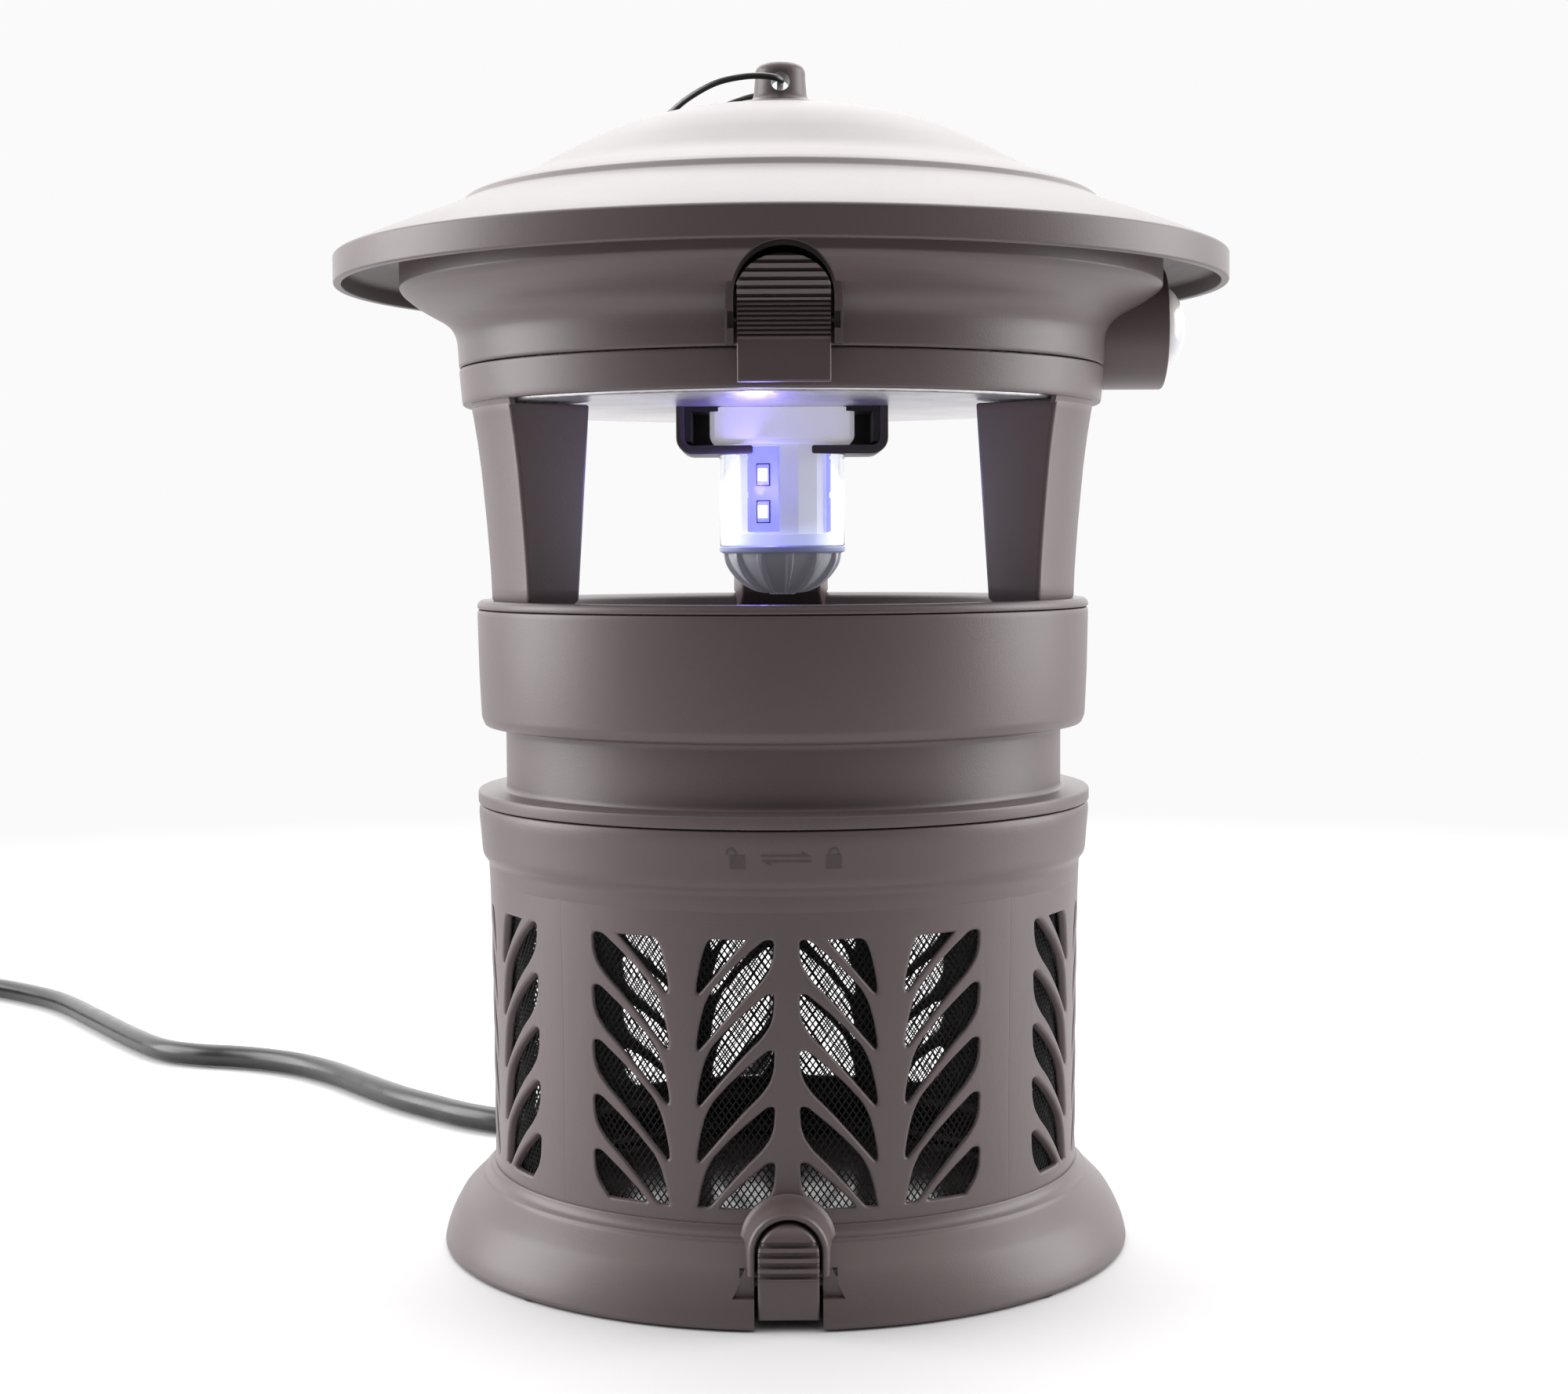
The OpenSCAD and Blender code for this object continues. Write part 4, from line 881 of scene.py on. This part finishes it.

# The cap's faint emission is painted light standing in for the light it catches from below
ribbed = Finish("grey_plastic", (0.60, 0.61, 0.66), 0.38, Emission_Color=(0.8, 0.8, 0.9, 1),
    Emission_Strength=0.04)
ribbed.tint(ribbed.noise(90), (0.58, 0.59, 0.64), (0.63, 0.64, 0.69))
ribbed.feed("Roughness", 0.33 + 0.1 * ribbed.noise(400)).bump(ribbed.noise(1900), 0.00002)
cap_turn = np.linspace(0, 2 * np.pi, 540, endpoint=False)
cap_rows = [np.stack([r * np.cos(cap_turn), r * np.sin(cap_turn), z + 0 * cap_turn], 1)
    for r, z in ((14, 196.5), (17.2, 196.5), (17.3, 195.3), (17.0, 195.0))]
for t in np.radians(np.linspace(0, 90, 26)):
    crest = step((np.cos(12 * (cap_turn - radians(7))) - 0.60 - 0.16 * np.sin(t)) / 0.25)
    r = 4.1 + 11.5 * np.cos(t) + 1.2 * np.cos(t) ** 6 - (1 - crest) * (1.1 + 0.7 * np.sin(2 * t))
    z = 194.8 - 11.2 * np.sin(t) + 0 * crest
    cap_rows.append(np.stack([r * np.cos(cap_turn), r * np.sin(cap_turn), z], 1))
cap_rows.append(np.stack([3.6 * np.cos(cap_turn), 3.6 * np.sin(cap_turn), 183.3 + 0 * cap_turn], 1))
dress(make("lamp_cap_ribs", [loft(cap_rows)], ribbed.material, sharp=40), "head", "grey_plastic", "lamp_cap")
# The rim's bluish emission is painted glow standing in for the LEDs' light on its edge
cap_rim = Finish("lamp_cap_rim", (0.42, 0.46, 0.66), 0.3, Emission_Strength=0.12)
cap_rim.feed("Roughness", 0.26 + 0.1 * cap_rim.noise(200)).feed("Emission Color",
    cap_rim.node("ShaderNodeValToRGB",
    {"stops": [(0.3, (0.30, 0.38, 1.0)), (0.7, (0.40, 0.48, 1.0))]}, {"Fac": cap_rim.noise(80)}, "Color"))
dress(make("lamp_cap_rim", [turned(eased([(13, 196.2), (16.9, 195.1), (17.8, 195.3), (18.05, 196.7),
    (17.7, 197.1),
    (13, 197.1)], 0.25), 128)], cap_rim.material), "head", "grey_plastic")

# ---- hanging loop ----
# A thin black plastic-covered wire through the post's hole, closed by a dark crimp
loop_route = [(0, 0, 326.4), (0, -5, 326.4), (0, -9.5, 326.4), (-3.5, -11.8, 326.9), (-10, -11, 327.0),
    (-18, -8, 325.8),
    (-26, -2, 322.6), (-33, 6, 318.6), (-42, 15, 315.2), (-53, 25, 309), (-65, 34, 303), (-73, 42, 299),
    (-74, 50, 297),
    (-68, 55, 298), (-58, 51, 302.5), (-46, 43, 309), (-33, 31, 317), (-20, 21, 322.6), (-10, 15.5, 325.6),
    (-3.5, 12, 326.3), (0, 9.5, 326.4), (0, 5, 326.4), (0, 0.1, 326.4)]
loop_line = smoothed(loop_route, 8)
dress(make("loop_wire", [tube(loop_line, 0.9, 16)], jacket, sharp=60), "hanging_loop", "cord_jacket",
    "hanging_loop")

# ---- inner works and fixings ----
# Screws, pins, springs, boards, motor and fan are plain parts, and keep their CAD shapes
steel = Finish("steel", (0.50, 0.50, 0.51), 0.32, Metallic=1.0)
brush = steel.noise(900, 2, (1, 1, 0.05))
steel.feed("Roughness", 0.26 + 0.16 * brush).tint(brush, (0.44, 0.44, 0.45), (0.56, 0.56, 0.57)).bump(brush,
    0.000008)
brass = Finish("brass", (0.75, 0.58, 0.28), 0.25, Metallic=1.0)
brass.feed("Roughness", 0.2 + 0.15 * brass.noise(500)).tint(brass.noise(200), (0.68, 0.52, 0.25),
    (0.8, 0.63, 0.32))
# The LED core's faint emission is painted glow standing in for the LEDs' light on its grey panels
core = Finish("grey_aluminium", (0.80, 0.80, 0.84), 0.4, Emission_Color=(0.8, 0.8, 0.9, 1),
    Emission_Strength=0.28)
core.feed("Roughness", 0.4 + 0.12 * core.noise(500)).tint(core.noise(70), (0.76, 0.76, 0.80),
    (0.84, 0.84, 0.88))
board = Finish("circuit_board", (0.03, 0.15, 0.07), 0.35)
board.tint(board.noise(250), (0.02, 0.11, 0.05), (0.04, 0.18, 0.08)).feed("Roughness",
    0.3 + 0.15 * board.noise(700))
dark_taupe = moulded("dark_taupe_plastic", [c * 0.75 for c in TAUPE], 0.45)
blackened = Finish("blackened_steel", (0.030, 0.027, 0.028), 0.35, Metallic=0.6)
blackened.feed("Roughness", 0.3 + 0.15 * blackened.noise(800))
door_finish = Finish("bottom_door_gloss", [c * 0.45 for c in TAUPE], 0.16, Coat_Weight=0.5,
    Coat_Roughness=0.08)
door_finish.feed("Roughness", 0.12 + 0.1 * door_finish.noise(40)).bump(door_finish.noise(300), 0.00002)
kept = {
    steel.material: ("door_hinge_pin", "bottom_latch_spring", "leg_screws", "fan_motor",
        "motor_screws", "head_hinge_pin", "roof_screws", "hanger_nut", "top_latch_spring"),
    blackened.material: ("bottom_latch_pin", "top_latch_pin", "motor_shaft", "loop_crimp"),
    door_finish.material: ("bottom_door",),
    brass.material: ("plug_blades", "lamp_contacts"), core.material: ("led_core",),
    board.material: ("driver_board", "sensor_board"), rubber: ("rubber_feet", "collar_seal"),
    dark_taupe: ("motor_bracket", "fan_grille"), black_plastic: ("fan_rotor",)}
for finish, names in kept.items():
    for name in names:
        for place in nodes[name].material_slots:
            place.material = finish

# ---- floor and light ----
# A pale floor that fades into a pale backdrop. The light comes from both sides, from above and from
# behind, and the front stays dark.
pale = Finish("pale_floor", (0.68, 0.675, 0.68), 0.8)
pale.tint(pale.noise(2), (0.675, 0.67, 0.675), (0.685, 0.68, 0.685))
BACKDROP, BACKDROP_STRENGTH = (1.0, 0.99, 0.995, 1), 0.965
reach = pale.node("ShaderNodeVectorMath", {"operation": "LENGTH"}, {0: pale.place}, "Value")
far = ((reach - 0.3) * 1.2).math("MINIMUM", 1.0).math("MAXIMUM", 0.0)
bright = pale.node("ShaderNodeEmission", None, {"Color": BACKDROP, "Strength": BACKDROP_STRENGTH})
dark = pale.node("ShaderNodeEmission", None, {"Color": BACKDROP, "Strength": 0.22})
front = ((pale.node("ShaderNodeSeparateXYZ", None, {0: pale.place}, 1) + 0.36) * -4.0).math("MINIMUM", 1.0)
seen = pale.node("ShaderNodeLightPath", out="Is Camera Ray")
blended = pale.node("ShaderNodeMixShader", None, {0: far, 1: Value(pale.tree, pale.surface.outputs[0]),
    2: bright})
hidden = front.math("MAXIMUM", 0.0) * (1 - seen)
blended = pale.node("ShaderNodeMixShader", None, {0: hidden, 1: blended, 2: dark})
pale.tree.links.new(blended.socket, pale.tree.nodes["Material Output"].inputs["Surface"])
floor = make("floor", [([(-9000, -9000, -0.3), (9000, -9000, -0.3), (9000, 9000, -0.3), (-9000, 9000, -0.3)],
    [[0, 1, 2, 3]])], pale.material)
world = bpy.data.worlds.new("studio")
world.use_nodes = True
tree = world.node_tree
split = tree.nodes.new("ShaderNodeSeparateXYZ")
tree.links.new(tree.nodes.new("ShaderNodeTexCoord").outputs["Generated"], split.inputs[0])
side, depth, up = (Value(tree, split.outputs[i]) for i in range(3))
ahead = depth.math("MAXIMUM", 0.0)
overhead = (up * 0.8 + ahead * 0.6 - 0.3).math("MAXIMUM", 0.0)
soft = 0.10 + 0.9 * side**4 + 1.0 * ahead + 2.2 * overhead
seen = Value(tree, tree.nodes.new("ShaderNodeLightPath").outputs["Is Camera Ray"])
backdrop = tree.nodes["Background"]
backdrop.inputs["Color"].default_value = BACKDROP
tree.links.new((seen * BACKDROP_STRENGTH + (1 - seen) * soft).socket, backdrop.inputs["Strength"])
scene.world = world
scene.view_settings.view_transform = "Standard"
AIM = Vector((0, 0, 0.18))
violet = bpy.data.lights.new("lamp_glow", "POINT")
violet.color, violet.energy, violet.shadow_soft_size = (0.28, 0.22, 1.0), 0.06, 0.003
violet_place = bpy.data.objects.new("lamp_glow", violet)
violet_place.location = (-0.0075, -0.0175, 0.213)
scene.collection.objects.link(violet_place)
for name, place, size, power in (("left_light", (-1.3, 0.12, 0.5), (0.9, 1.2), 20),
        ("right_light", (1.3, 0.12, 0.5), (0.9, 1.2), 17), ("top_light", (0, 0.75, 1.4), (1.4, 1.4), 15)):
    lamp = bpy.data.lights.new(name, "AREA")
    lamp.shape, lamp.size, lamp.size_y, lamp.energy = "RECTANGLE", size[0], size[1], power
    light = bpy.data.objects.new(name, lamp)
    scene.collection.objects.link(light)
    turned_to_aim = (AIM - Vector(place)).to_track_quat("-Z", "Y").to_matrix().to_4x4()
    light.matrix_world = Matrix.Translation(place) @ turned_to_aim
